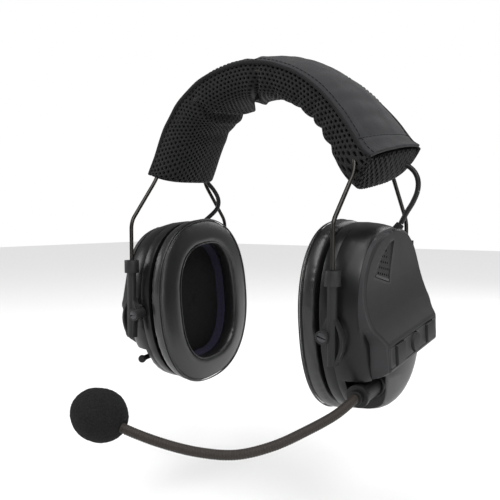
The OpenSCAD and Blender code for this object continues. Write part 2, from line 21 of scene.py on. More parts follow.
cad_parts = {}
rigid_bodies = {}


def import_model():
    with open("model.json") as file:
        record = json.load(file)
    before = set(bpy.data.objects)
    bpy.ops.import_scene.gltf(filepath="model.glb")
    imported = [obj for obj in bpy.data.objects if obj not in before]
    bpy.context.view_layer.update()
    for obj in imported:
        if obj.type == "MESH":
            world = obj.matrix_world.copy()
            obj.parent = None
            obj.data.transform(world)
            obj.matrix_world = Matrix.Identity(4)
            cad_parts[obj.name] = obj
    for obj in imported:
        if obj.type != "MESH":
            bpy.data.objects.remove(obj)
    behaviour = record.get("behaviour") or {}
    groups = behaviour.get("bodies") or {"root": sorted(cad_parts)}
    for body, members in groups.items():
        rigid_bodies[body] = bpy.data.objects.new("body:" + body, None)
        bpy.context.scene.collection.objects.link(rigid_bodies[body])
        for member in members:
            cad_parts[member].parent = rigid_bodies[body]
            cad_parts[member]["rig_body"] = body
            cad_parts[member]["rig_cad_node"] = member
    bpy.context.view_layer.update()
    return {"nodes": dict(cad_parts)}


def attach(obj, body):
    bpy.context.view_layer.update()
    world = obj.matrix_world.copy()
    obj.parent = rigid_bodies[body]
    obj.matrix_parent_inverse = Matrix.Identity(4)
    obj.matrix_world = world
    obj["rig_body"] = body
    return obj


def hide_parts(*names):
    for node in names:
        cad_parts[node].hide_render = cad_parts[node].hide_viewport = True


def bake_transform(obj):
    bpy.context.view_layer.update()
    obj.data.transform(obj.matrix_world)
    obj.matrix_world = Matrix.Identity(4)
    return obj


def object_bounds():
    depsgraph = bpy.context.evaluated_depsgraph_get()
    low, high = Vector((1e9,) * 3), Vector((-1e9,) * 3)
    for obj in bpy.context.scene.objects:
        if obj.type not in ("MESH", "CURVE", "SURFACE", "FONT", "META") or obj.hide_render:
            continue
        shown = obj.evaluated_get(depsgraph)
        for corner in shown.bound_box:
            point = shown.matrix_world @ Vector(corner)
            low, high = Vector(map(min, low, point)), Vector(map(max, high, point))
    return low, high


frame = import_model()

# %% [markdown]
# ## The camera and the light
#
# A product like this is shot a little from its left, almost level with the
# cups, with a longish lens so that the near cup doesn't swell. Black plastic is
# read by its soft edges, so five square area lamps stand round it: one high on
# each side in front, a small one low beside the near cup, one overhead and one
# behind. A very wide sun stands for the rest of the room. The white walls are
# seen at full strength but light the headset at only a fifth of it, or the
# black would wash out to grey. The camera's places are millimetres in the
# frame, so one constant turns them to metres.

# %% Camera, floor and lamps
MM = 0.001
eye = Vector((205.5, -307.7, 48.5)) * MM
aim = Vector((-8.3, -5.9, 30.2)) * MM
camera_data = bpy.data.cameras.new("studio_camera")
camera_data.lens = 47.7
camera_data.sensor_width = 36
camera_data.clip_start = 0.01


def new_object(name, data):
    """An object at the origin that shows a mesh, a curve, a lamp or a camera."""
    made = bpy.data.objects.new(name, data)
    bpy.context.scene.collection.objects.link(made)
    return made


camera = new_object("studio_camera", camera_data)
camera.location = eye
camera.rotation_euler = (aim - eye).to_track_quat("-Z", "Y").to_euler()
bpy.context.scene.camera = camera

# Each lamp: its place and size in metres, and its power in watts
lamps = [
    ("key_lamp", (0.75, -0.55, 0.75), 0.4, 3.5),
    ("edge_lamp", (0.9, -0.4, 0.1), 0.35, 1.2),
    ("left_lamp", (-0.85, -0.45, 0.35), 0.4, 3.0),
    ("top_lamp", (0.0, 0.1, 0.95), 0.5, 2.5),
    ("back_lamp", (0.2, 0.9, 0.6), 0.6, 2.5),
]
for name, place, size, power in lamps:
    data = bpy.data.lights.new(name, "AREA")
    data.size = size
    data.energy = power
    lamp = new_object(name, data)
    lamp.location = Vector(place)
    lamp.rotation_euler = (aim - lamp.location).to_track_quat("-Z", "Y").to_euler()
room_light = bpy.data.lights.new("room_light", "SUN")
room_light.energy = 2.5
room_light.angle = math.radians(60)
room_lamp = new_object("room_light", room_light)
room_lamp.rotation_euler = (math.radians(25), math.radians(15), 0)

# %% The white room
wall_light = 0.22
wall_seen = 1.0
world = bpy.data.worlds.new("white_room")
world.use_nodes = True
backdrop = world.node_tree.nodes["Background"]
backdrop.inputs["Color"].default_value = (1, 1, 1, 1)
seen = world.node_tree.nodes.new("ShaderNodeLightPath")
strength = world.node_tree.nodes.new("ShaderNodeMapRange")
strength.inputs["To Min"].default_value = wall_light
strength.inputs["To Max"].default_value = wall_seen
world.node_tree.links.new(seen.outputs["Is Camera Ray"], strength.inputs["Value"])
world.node_tree.links.new(strength.outputs["Result"], backdrop.inputs["Strength"])
bpy.context.scene.world = world
bpy.context.scene.view_settings.view_transform = "Standard"
print("camera", round((aim - eye).length / MM), "mm from the headset,", len(lamps), "area lamps")

# %% [markdown]
# ## Small tools: points to meshes, and nodes to materials
#
# Most pieces start as rows of points joined by faces. `mesh_piece` turns
# millimetre points into a mesh object in metres at the origin, and makes every
# face point outwards unless it is told that they do. `smooth_route` is the same
# rounded curve through points that the frame's wires and cable follow.
#
# Colours are written as sRGB hex, as a paint chart gives them, and `srgb` turns
# them to the linear numbers that Blender adds up light with. `add` puts one
# node in a tree, with its settings and its links, so that a whole material
# reads as a short list.

# %% Mesh and curve helpers
def face_outwards(mesh):
    """Turns every face of a closed mesh outwards."""
    shape = bmesh.new()
    shape.from_mesh(mesh)
    bmesh.ops.recalc_face_normals(shape, faces=shape.faces)
    shape.to_mesh(mesh)
    shape.free()


def shade_smooth(mesh):
    """Shades every face of a mesh as part of one rounded surface."""
    mesh.polygons.foreach_set("use_smooth", [True] * len(mesh.polygons))


def mesh_piece(name, points, faces, smooth=True, outwards=True):
    """A mesh object at the origin from points in millimetres."""
    data = bpy.data.meshes.new(name)
    data.from_pydata([Vector(p) * MM for p in points], [], [list(f) for f in faces])
    data.validate()
    if outwards:
        face_outwards(data)
    if smooth:
        shade_smooth(data)
    return new_object(name, data)


def grid_faces(rows, columns, close_rows=False, close_columns=False):
    """Quads between rows of points, each row with the same number of columns."""
    row_count = rows if close_rows else rows - 1
    column_count = columns if close_columns else columns - 1
    return [
        (
            r * columns + c,
            r * columns + (c + 1) % columns,
            (r + 1) % rows * columns + (c + 1) % columns,
            (r + 1) % rows * columns + c,
        )
        for r in range(row_count)
        for c in range(column_count)
    ]


def smooth_route(route, steps):
    """Points of the rounded curve that passes through every point of the route."""
    route = [Vector(p) for p in route]
    out = []
    for i in range(len(route) - 1):
        a = route[max(i - 1, 0)]
        b = route[i]
        c = route[i + 1]
        d = route[min(i + 2, len(route) - 1)]
        for s in range(steps):
            t = s / steps
            out.append(
                0.5
                * (
                    2 * b
                    + (c - a) * t
                    + (2 * a - 5 * b + 4 * c - d) * t * t
                    + (3 * b - a - 3 * c + d) * t * t * t
                )
            )
    return out + [route[-1]]


def evaluated_mesh(piece):
    """A plain mesh of a piece as its modifiers leave it."""
    bpy.context.view_layer.update()
    depsgraph = bpy.context.evaluated_depsgraph_get()
    return bpy.data.meshes.new_from_object(piece.evaluated_get(depsgraph))


def finish_modifiers(piece):
    """Turns a piece and its modifiers into one plain mesh."""
    made = evaluated_mesh(piece)
    piece.modifiers.clear()
    piece.data = made
    made.name = piece.name


def triangles(piece):
    """How many triangles a piece has."""
    return sum(len(face.vertices) - 2 for face in piece.data.polygons)


# %% Colour and node helpers
def srgb(hex_text):
    """A linear colour from an sRGB hex value such as #1b1b1c."""
    parts = [int(hex_text[i : i + 2], 16) / 255 for i in (1, 3, 5)]
    linear = [p / 12.92 if p <= 0.04045 else ((p + 0.055) / 1.055) ** 2.4 for p in parts]
    return (*linear, 1.0)


def add(tree, kind, inputs=None, **settings):
    """One node with its settings; an input is a number or the socket that feeds it."""
    node = tree.nodes.new(kind)
    for key, value in settings.items():
        setattr(node, key, value)
    for key, value in (inputs or {}).items():
        if isinstance(value, bpy.types.NodeSocket):
            tree.links.new(value, node.inputs[key])
        else:
            node.inputs[key].default_value = value
    return node


def new_finish(name, **shader_inputs):
    """A material with one Principled shader; returns it, its tree and its shader."""
    material = bpy.data.materials.new(name)
    material.use_nodes = True
    tree = material.node_tree
    shader = tree.nodes["Principled BSDF"]
    for key, value in shader_inputs.items():
        shader.inputs[key.replace("_", " ").title().replace("Ior", "IOR")].default_value = value
    return material, tree, shader


# %% [markdown]
# ## Finishes
#
# Every material starts from what the real one is and how its surface was made.
# Their patterns are worked out from real sizes, so each one divides a length in
# millimetres into Object coordinates, which are metres here because every piece
# sits at the origin.
#
# ### Moulded plastics
#
# The shells are ABS from a fine-blasted mould: a satin black that catches broad
# highlights. The outer panels and sliders are nylon from a spark-eroded mould,
# whose skin is a field of dimples about 0.3 mm wide. Both are the same recipe
# with other numbers: a noise as wide as the grain feeds a bump and a little
# change in roughness, and edges are worn a touch lighter where hands rub them.

# %% Moulded plastic recipe
def moulded(name, base, worn, rough, grain_mm, grain_height, spread=0.06):
    """A moulded plastic: fine mould grain, slightly uneven gloss, hand-worn edges."""
    material, tree, shader = new_finish(name, ior=1.5, specular_ior_level=0.26)
    place = add(tree, "ShaderNodeTexCoord").outputs["Object"]
    grain = add(
        tree, "ShaderNodeTexNoise",
        {"Vector": place, "Scale": 1 / (grain_mm * MM), "Detail": 2.0, "Roughness": 0.55},
    ).outputs["Fac"]
    patches = add(
        tree, "ShaderNodeTexNoise", {"Vector": place, "Scale": 1 / (14 * MM), "Detail": 3.0}
    ).outputs["Fac"]
    edge = add(tree, "ShaderNodeNewGeometry").outputs["Pointiness"]
    wear = add(
        tree, "ShaderNodeMapRange",
        {"Value": edge, "From Min": 0.53, "From Max": 0.62, "To Min": 0.0, "To Max": 0.6},
    ).outputs["Result"]
    colour = add(
        tree, "ShaderNodeMix",
        {"Factor": wear, "A": srgb(base), "B": srgb(worn)}, data_type="RGBA",
    )
    tree.links.new(colour.outputs[2], shader.inputs["Base Color"])
    gloss = add(
        tree, "ShaderNodeMapRange",
        {"Value": patches, "To Min": rough - spread, "To Max": rough + spread},
    ).outputs["Result"]
    tree.links.new(gloss, shader.inputs["Roughness"])
    bump = add(
        tree, "ShaderNodeBump",
        {"Height": grain, "Strength": grain_height, "Distance": 0.05 * MM},
    ).outputs["Normal"]
    tree.links.new(bump, shader.inputs["Normal"])
    return material


blasted_abs = moulded("shell_blasted_abs", "#111112", "#1d1d1e", 0.33, 0.22, 0.25)
textured_nylon = moulded("panel_textured_nylon", "#222223", "#38383a", 0.52, 0.42, 0.9)
slider_nylon = moulded("slider_satin_nylon", "#1d1d1e", "#2e2e2f", 0.45, 0.25, 0.4)
dark_moulding = moulded("dark_moulded_plastic", "#111112", "#1c1c1d", 0.5, 0.3, 0.5)
key_silicone = moulded("key_silicone_rubber", "#1e1e1f", "#2a2a2b", 0.6, 0.2, 0.3)
soft_rubber = moulded("moulded_soft_rubber", "#131313", "#1d1d1d", 0.62, 0.3, 0.5)
cable_jacket = moulded("cable_extruded_jacket", "#151516", "#1f1f20", 0.4, 0.5, 0.15)
print("moulded finishes ready")

# %% [markdown]
# ### Leatherette
#
# The cushions are polyurethane leatherette: a soft sheet embossed with a shallow
# grain of cells about 0.9 mm across, rolled so thin that it takes a satin shine
# at its turns. A Voronoi pattern makes the cells, a slow noise makes the
# stretched patches a little glossier, and a thin clear coat is the film on top.

# %% Leatherette
leatherette, tree, shader = new_finish(
    "cushion_leatherette", ior=1.5, specular_ior_level=0.5, coat_weight=0.25, coat_roughness=0.3,
)
shader.inputs["Base Color"].default_value = srgb("#121213")
place = add(tree, "ShaderNodeTexCoord").outputs["Object"]
wobble = add(tree, "ShaderNodeTexNoise", {"Vector": place, "Scale": 1 / (1.2 * MM), "Detail": 1.0})
bent_place = add(
    tree, "ShaderNodeVectorMath",
    {0: wobble.outputs["Color"], 1: (0.0005, 0.0005, 0.0005)}, operation="MULTIPLY",
).outputs["Vector"]
grain_place = add(
    tree, "ShaderNodeVectorMath", {0: place, 1: bent_place}, operation="ADD"
).outputs["Vector"]
cells = add(
    tree, "ShaderNodeTexVoronoi",
    {"Vector": grain_place, "Scale": 1 / (0.9 * MM)}, feature="DISTANCE_TO_EDGE",
).outputs["Distance"]
creases = add(
    tree, "ShaderNodeMapRange", {"Value": cells, "From Max": 0.14}
).outputs["Result"]
patches = add(
    tree, "ShaderNodeTexNoise", {"Vector": place, "Scale": 1 / (11 * MM), "Detail": 2.0}
).outputs["Fac"]
gloss = add(
    tree, "ShaderNodeMapRange", {"Value": patches, "To Min": 0.3, "To Max": 0.42}
).outputs["Result"]
tree.links.new(gloss, shader.inputs["Roughness"])
bump = add(
    tree, "ShaderNodeBump", {"Height": creases, "Strength": 0.35, "Distance": 0.05 * MM}
).outputs["Normal"]
tree.links.new(bump, shader.inputs["Normal"])
print("leatherette ready")

# %% [markdown]
# ### Metals
#
# The headband wires are hard-drawn spring steel with a dark plated skin. Drawing
# leaves fine lines along the wire, so the noise is stretched along its height.
# The screws are blackened steel, and the speaker frames are bright zinc-plated
# steel that nobody sees unless a cup is opened.

# %% Metals
def metal(name, tint, rough, line_mm, stretch):
    """A plated steel with fine lines left by drawing or turning."""
    material, tree, shader = new_finish(name, metallic=1.0)
    place = add(tree, "ShaderNodeTexCoord").outputs["Object"]
    along = add(
        tree, "ShaderNodeMapping", {"Vector": place, "Scale": (1.0, 1.0, stretch)}
    ).outputs["Vector"]
    lines = add(
        tree, "ShaderNodeTexNoise", {"Vector": along, "Scale": 1 / (line_mm * MM), "Detail": 4.0}
    ).outputs["Fac"]
    ramp = add(tree, "ShaderNodeValToRGB", {"Fac": lines})
    ramp.color_ramp.elements[0].color = srgb(tint[0])
    ramp.color_ramp.elements[1].color = srgb(tint[1])
    tree.links.new(ramp.outputs["Color"], shader.inputs["Base Color"])
    gloss = add(
        tree, "ShaderNodeMapRange", {"Value": lines, "To Min": rough - 0.07, "To Max": rough + 0.1}
    ).outputs["Result"]
    tree.links.new(gloss, shader.inputs["Roughness"])
    bump = add(
        tree, "ShaderNodeBump", {"Height": lines, "Strength": 0.2, "Distance": 0.02 * MM}
    ).outputs["Normal"]
    tree.links.new(bump, shader.inputs["Normal"])
    return material


drawn_spring_steel = metal("wire_drawn_spring_steel", ("#2a2927", "#43413e"), 0.32, 0.5, 0.06)
blackened_steel = metal("screw_blackened_steel", ("#3c3c3e", "#5a5a5c"), 0.35, 0.4, 1.0)
plated_steel = metal("speaker_plated_steel", ("#8d8d90", "#b4b4b8"), 0.3, 0.4, 1.0)
print("metals ready")

# %% [markdown]
# ### Cloth, foam and the gooseneck's jacket
#
# The sleeve's outer side is plain-woven nylon pack cloth, whose threads lie
# about 0.55 mm apart. Two sets of waves, one along each UV direction, cross like
# warp and weft; the UV map is in millimetres, so the weave follows the sleeve
# round its arch. The net and its backing are polyester knit. Foams are open
# cells a fraction of a millimetre wide, so their bump is coarse and very rough.

# %% Woven nylon
woven_nylon, tree, shader = new_finish(
    "sleeve_woven_nylon", roughness=0.78, specular_ior_level=0.25, sheen_weight=0.08,
)
thread_mm = 0.62
map_uv = add(tree, "ShaderNodeUVMap", uv_map="cloth_mm").outputs["UV"]
split = add(tree, "ShaderNodeSeparateXYZ", {"Vector": map_uv})
across = add(
    tree, "ShaderNodeMath",
    {0: split.outputs["X"], 1: math.pi / thread_mm}, operation="MULTIPLY",
).outputs[0]
along = add(
    tree, "ShaderNodeMath",
    {0: split.outputs["Y"], 1: math.pi / thread_mm}, operation="MULTIPLY",
).outputs[0]
wave_across = add(tree, "ShaderNodeMath", {0: across}, operation="SINE").outputs[0]
wave_along = add(tree, "ShaderNodeMath", {0: along}, operation="SINE").outputs[0]
crossing = add(
    tree, "ShaderNodeMath", {0: wave_across, 1: wave_along}, operation="MULTIPLY"
).outputs[0]
threads = add(tree, "ShaderNodeMath", {0: crossing}, operation="ABSOLUTE").outputs[0]
place = add(tree, "ShaderNodeTexCoord").outputs["Object"]
fade = add(
    tree, "ShaderNodeTexNoise", {"Vector": place, "Scale": 1 / (6 * MM), "Detail": 4.0}
).outputs["Fac"]
# The colour follows the thread waves too: darker where the threads dip, as painted shade, on a random fade of
# tone.
tone_and_thread_shade = add(
    tree, "ShaderNodeMath", {0: fade, 1: 0.35, 2: threads}, operation="MULTIPLY_ADD"
).outputs[0]
ramp = add(tree, "ShaderNodeValToRGB", {"Fac": tone_and_thread_shade})
ramp.color_ramp.elements[0].color = srgb("#131315")
ramp.color_ramp.elements[1].color = srgb("#28282b")
tree.links.new(ramp.outputs["Color"], shader.inputs["Base Color"])
bump = add(
    tree, "ShaderNodeBump", {"Height": threads, "Strength": 0.6, "Distance": 0.12 * MM}
).outputs["Normal"]
tree.links.new(bump, shader.inputs["Normal"])


# %% Soft recipe for knit, yarn and foam
def soft_with_pit_shade(name, dark, light, cell_mm, height_mm, rough=0.9, sheen=0.0, detail=3.0):
    """A fibrous or open-celled surface: lighter fibres, and painted shade darkening the pits between them."""
    material, tree, shader = new_finish(
        name, roughness=rough, specular_ior_level=0.2, sheen_weight=sheen,
    )
    place = add(tree, "ShaderNodeTexCoord").outputs["Object"]
    fibres = add(
        tree, "ShaderNodeTexNoise",
        {"Vector": place, "Scale": 1 / (cell_mm * MM), "Detail": detail, "Roughness": 0.65},
    ).outputs["Fac"]
    # The ramp darkens the low points of the same noise that raises the bump: painted shade in the pits, over
    # lighter fibres.
    ramp = add(tree, "ShaderNodeValToRGB", {"Fac": fibres})
    ramp.color_ramp.elements[0].position = 0.35
    ramp.color_ramp.elements[1].position = 0.7
    ramp.color_ramp.elements[0].color = srgb(dark)
    ramp.color_ramp.elements[1].color = srgb(light)
    tree.links.new(ramp.outputs["Color"], shader.inputs["Base Color"])
    bump = add(
        tree, "ShaderNodeBump",
        {"Height": fibres, "Strength": 1.0, "Distance": height_mm * MM},
    ).outputs["Normal"]
    tree.links.new(bump, shader.inputs["Normal"])
    return material


net_yarn = soft_with_pit_shade("net_polyester_yarn", "#101011", "#222224", 0.5, 0.1, 0.75, 0.05)
# Near black: painted shade, standing for the dark seen through the net's holes on the pad.
pad_painted_shade = soft_with_pit_shade("net_backing_knit", "#050505", "#0c0c0c", 0.8, 0.2)
seam_tape = soft_with_pit_shade("seam_binding_tape", "#131314", "#232325", 0.45, 0.12, 0.8)
ear_cloth = soft_with_pit_shade("ear_space_blue_knit", "#14131f", "#262439", 0.7, 0.15, 0.85, 0.1)
ear_foam = soft_with_pit_shade("ear_space_open_foam", "#050505", "#141414", 0.9, 0.3)
windscreen_foam = soft_with_pit_shade("windscreen_open_foam", "#070707", "#202021", 0.55, 0.35, 0.95)
gooseneck_jacket = soft_with_pit_shade("gooseneck_rib_jacket", "#262220", "#37322e", 0.6, 0.05, 0.5)
board_laminate = moulded("board_solder_mask", "#12492a", "#1d6b3f", 0.3, 0.4, 0.2)
battery_film = moulded("battery_shrink_film", "#27324a", "#33415f", 0.25, 0.5, 0.2)
capsule_mesh = metal("capsule_etched_steel", ("#4a4a4c", "#6a6a6c"), 0.4, 0.3, 1.0)
print("materials:", len(bpy.data.materials))

# %% [markdown]
# ## Hard parts taken straight from the frame
#
# A CAD edge is a perfect knife, and a moulded one never is: the mould's own
# corner leaves a radius of a few tenths of a millimetre, and that thin line of
# light is what makes plastic look real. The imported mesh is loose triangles, so
# a copy is welded, its flat faces are joined up again, and a Bevel modifier
# rounds each sharp edge. The frame's own object isn't touched: the copy stands
# for it.

# %% Round the edges of a copy
weld_mm = 0.004
flat_degrees = 0.6
edge_degrees = 32


def rounded_copy(node, radius_mm, material, slot_name, body):
    """A copy of a CAD node with its sharp edges rounded, standing for that node."""
    piece = frame["nodes"][node].copy()
    piece.data = piece.data.copy()
    piece.name = node + "_moulded"
    piece.data.name = piece.name
    piece.parent = None
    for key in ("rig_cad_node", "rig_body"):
        if key in piece:
            del piece[key]
    bpy.context.scene.collection.objects.link(piece)
    shape = bmesh.new()
    shape.from_mesh(piece.data)
    bmesh.ops.remove_doubles(shape, verts=shape.verts, dist=weld_mm * MM)
    bmesh.ops.dissolve_limit(
        shape, angle_limit=math.radians(flat_degrees), verts=shape.verts, edges=shape.edges
    )
    shape.to_mesh(piece.data)
    shape.free()
    shade_smooth(piece.data)
    bevel = piece.modifiers.new("rounded_edges", "BEVEL")
    bevel.width = radius_mm * MM
    bevel.segments = 2
    bevel.limit_method = "ANGLE"
    bevel.angle_limit = math.radians(edge_degrees)
    bevel.harden_normals = True
    bevel.use_clamp_overlap = True
    finish_modifiers(piece)
    piece.data.materials.clear()
    piece.data.materials.append(material)
    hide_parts(node)
    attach(piece, body)
    return piece


hard_parts = [
    ("left_front_slider", 0.35, slider_nylon, "slider_plastic", "left_front_slide"),
    ("left_rear_slider", 0.35, slider_nylon, "slider_plastic", "left_rear_slide"),
    ("right_front_slider", 0.35, slider_nylon, "slider_plastic", "right_front_slide"),
    ("right_rear_slider", 0.35, slider_nylon, "slider_plastic", "right_rear_slide"),
    ("boom_plug", 0.3, dark_moulding, "dark_plastic", "boom_root"),
    ("boom_collar", 0.25, dark_moulding, "dark_plastic", "boom_root"),
    ("right_socket_plug", 0.35, soft_rubber, "black_rubber", "right_cup"),
    ("front_button", 0.45, key_silicone, "key_rubber", "key_front"),
    ("middle_button", 0.45, key_silicone, "key_rubber", "key_middle"),
    ("rear_button", 0.45, key_silicone, "key_rubber", "key_rear"),
]
for side in ("left", "right"):
    hard_parts += [
        (side + "_outer_shell", 0.3, blasted_abs, "shell_plastic", side + "_cup"),
        (side + "_inner_shell", 0.4, blasted_abs, "shell_plastic", side + "_cup"),
        (side + "_cushion_plate", 0.3, dark_moulding, "dark_plastic", side + "_cup"),
        (side + "_boom_socket", 0.4, dark_moulding, "dark_plastic", side + "_cup"),
        (side + "_cable_grommet", 0.3, soft_rubber, "black_rubber", side + "_cup"),
        (side + "_pivot_screws", 0.2, blackened_steel, "screw_steel", side + "_cup"),
    ]
for row in hard_parts:
    made = rounded_copy(*row)
    print(made.name, triangles(made))

# %% [markdown]
# The parts that only show when a cup is taken apart are right as the frame has
# them, so they stay, and each gets its real finish in its material slots.

# %% Finishes on the frame's own parts
kept_parts = {"mic_capsule": capsule_mesh}
kept_parts["left_radio_board"] = board_laminate
kept_parts["left_button_board"] = board_laminate
kept_parts["right_charge_board"] = board_laminate
kept_parts["right_battery"] = battery_film
for side in ("left", "right"):
    kept_parts[side + "_baffle"] = dark_moulding
    kept_parts[side + "_speaker"] = plated_steel
    kept_parts[side + "_speaker_magnet"] = plated_steel
    kept_parts[side + "_shell_screws"] = blackened_steel
for node, material in kept_parts.items():
    slots = frame["nodes"][node].material_slots
    if not slots:
        frame["nodes"][node].data.materials.append(material)
    for material_slot in slots:
        material_slot.material = material
print("kept parts:", len(kept_parts))

# %% [markdown]
# ## Things that follow a route: wires, cable and gooseneck
#
# A spring wire, a cable and a gooseneck are all a round section carried along a
# line. Geometry Nodes say exactly that: resample the line, make a circle, sweep
# it. Ribs come free, because the width may change with the length along the
# line. One tree with named inputs serves every piece here, so a change of rib
# pitch or width is a number and not new modelling.

# %% A node tree that sweeps a round section
def new_tree(name, wanted_inputs):
    """An empty Geometry Nodes tree with a geometry input and named number inputs."""
    tree = bpy.data.node_groups.new(name, "GeometryNodeTree")
    tree.interface.new_socket("Geometry", in_out="INPUT", socket_type="NodeSocketGeometry")
    for label, kind, value in wanted_inputs:
        socket = tree.interface.new_socket(label, in_out="INPUT", socket_type=kind)
        if value is not None:
            socket.default_value = value
    tree.interface.new_socket("Geometry", in_out="OUTPUT", socket_type="NodeSocketGeometry")
    return tree, add(tree, "NodeGroupInput").outputs


def run_tree(piece, tree, values):
    """Runs a tree on a piece with the given inputs and leaves one plain mesh object."""
    modifier = piece.modifiers.new("pattern", "NODES")
    modifier.node_group = tree
    for item in tree.interface.items_tree:
        if item.in_out == "INPUT" and item.name in values:
            modifier[item.identifier] = values[item.name]
    made = evaluated_mesh(piece)
    name = piece.name
    bpy.data.objects.remove(piece)
    made.name = name
    return new_object(name, made)


FLOAT = "NodeSocketFloat"
sweep_tree, sweep_in = new_tree(
    "sweep_round_section",
    [
        ("Step", FLOAT, 0.001),
        ("Radius", FLOAT, 0.001),
        ("Rib Pitch", FLOAT, 0.001),
        ("Rib Depth", FLOAT, 0.0),
        ("Sides", "NodeSocketInt", 16),
        ("Finish", "NodeSocketMaterial", None),
    ],
)
line = add(
    sweep_tree, "GeometryNodeResampleCurve",
    {"Curve": sweep_in["Geometry"], "Length": sweep_in["Step"]}, mode="LENGTH",
).outputs[0]
so_far = add(sweep_tree, "GeometryNodeSplineParameter").outputs["Length"]
turns = add(
    sweep_tree, "ShaderNodeMath", {0: so_far, 1: sweep_in["Rib Pitch"]}, operation="DIVIDE"
).outputs[0]
angle = add(
    sweep_tree, "ShaderNodeMath", {0: turns, 1: 2 * math.pi}, operation="MULTIPLY"
).outputs[0]
ripple = add(sweep_tree, "ShaderNodeMath", {0: angle}, operation="COSINE").outputs[0]
height = add(
    sweep_tree, "ShaderNodeMath", {0: ripple, 1: sweep_in["Rib Depth"]}, operation="MULTIPLY"
).outputs[0]
share = add(
    sweep_tree, "ShaderNodeMath", {0: height, 1: sweep_in["Radius"]}, operation="DIVIDE"
).outputs[0]
width = add(sweep_tree, "ShaderNodeMath", {0: share, 1: 1.0}, operation="ADD").outputs[0]
circle = add(
    sweep_tree, "GeometryNodeCurvePrimitiveCircle",
    {"Resolution": sweep_in["Sides"], "Radius": sweep_in["Radius"]}, mode="RADIUS",
).outputs[0]
swept = add(
    sweep_tree, "GeometryNodeCurveToMesh",
    {"Curve": line, "Profile Curve": circle, "Fill Caps": True},
)
if "Scale" in swept.inputs:
    sweep_tree.links.new(width, swept.inputs["Scale"])
else:
    wider = add(sweep_tree, "GeometryNodeSetCurveRadius", {"Curve": line, "Radius": width})
    sweep_tree.links.new(wider.outputs[0], swept.inputs["Curve"])
whole = add(sweep_tree, "GeometryNodeRealizeInstances", {"Geometry": swept.outputs[0]}).outputs[0]
soft_light = add(sweep_tree, "GeometryNodeSetShadeSmooth", {"Geometry": whole}).outputs[0]
painted = add(
    sweep_tree, "GeometryNodeSetMaterial",
    {"Geometry": soft_light, "Material": sweep_in["Finish"]},
).outputs[0]
add(sweep_tree, "NodeGroupOutput", {"Geometry": painted})


def swept_piece(name, route_mm, radius_mm, finish, rib_pitch_mm=1.0, rib_mm=0.0, step_mm=1.0, sides=16):
    """A round section of that radius along a route of millimetre points."""
    curve = bpy.data.curves.new(name, "CURVE")
    curve.dimensions = "3D"
    spline = curve.splines.new("POLY")
    spline.points.add(len(route_mm) - 1)
    for point, place in zip(spline.points, route_mm):
        point.co = (*(Vector(place) * MM), 1)
    piece = run_tree(
        new_object(name, curve),
        sweep_tree,
        {
            "Step": step_mm * MM,
            "Radius": radius_mm * MM,
            "Rib Pitch": rib_pitch_mm * MM,
            "Rib Depth": rib_mm * MM,
            "Sides": sides,
            "Finish": finish,
        },
    )
    face_outwards(piece.data)
    return piece


def route_length(route_mm):
    """The length of a route in millimetres."""
    return sum((Vector(a) - Vector(b)).length for a, b in zip(route_mm, route_mm[1:]))


# %% [markdown]
# ### The two spring wires
#
# Each wire is one length of hard-drawn spring steel: straight up from a cup,
# bent in towards the head, over the arch inside the sleeve and down again. Its
# corners are rounded as a bending tool leaves them.

# %% Spring wires
leg_x = 63.5
leg_y = 43.0
sleeve_wire_y = 20.0
wire_radius = 1.1
wire_ease = 0.02
bend_z = 46.0
bend_run = 4.0
leg_end_z = 1.0
pitch_degrees = 7.5
pivot_drop = leg_y * math.sin(math.radians(pitch_degrees))
arch = [(0, 126), (14, 124.5), (29, 119), (41.5, 110.5), (51.5, 99.5), (59, 88), (64, 73)]


def corner(a, b, c, steps=6):
    """Points of the rounded corner from a to c that b would be the tip of."""
    shares = [k / steps for k in range(steps + 1)]
    return [a * (1 - t) ** 2 + 2 * b * t * (1 - t) + c * t * t for t in shares]


def wire_half(side, front):
    """Half a wire's route, from the leg's end up to just short of the crown."""
    leg = Vector((side * leg_x, front * leg_y, bend_z))
    over = [Vector((side * x, front * sleeve_wire_y, z)) for x, z in arch]
    lean = (over[-1] - leg).normalized()
    foot = [Vector((leg.x, leg.y, leg_end_z + front * pivot_drop))]
    first = corner(leg - Vector((0, 0, bend_run)), leg, leg + bend_run * lean)
    second = corner(over[-1] - 2 * bend_run * lean, over[-1], (over[-1] + over[-2]) / 2)
    return foot + first + second + over[-2:0:-1]


def wire_route(front):
    """The whole route of one wire, from foot to foot over the crown."""
    top = Vector((0, front * sleeve_wire_y, arch[0][1]))
    return wire_half(-1, front) + [top] + wire_half(1, front)[::-1]


for label, front in (("front", -1), ("rear", 1)):
    route = wire_route(front)
    wire = swept_piece(
        label + "_spring_wire", route, wire_radius - wire_ease, drawn_spring_steel, step_mm=0.9
    )
    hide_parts(label + "_wire")
    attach(wire, "headband")
    print(wire.name, round(route_length(route)), "mm of wire,", triangles(wire), "triangles")
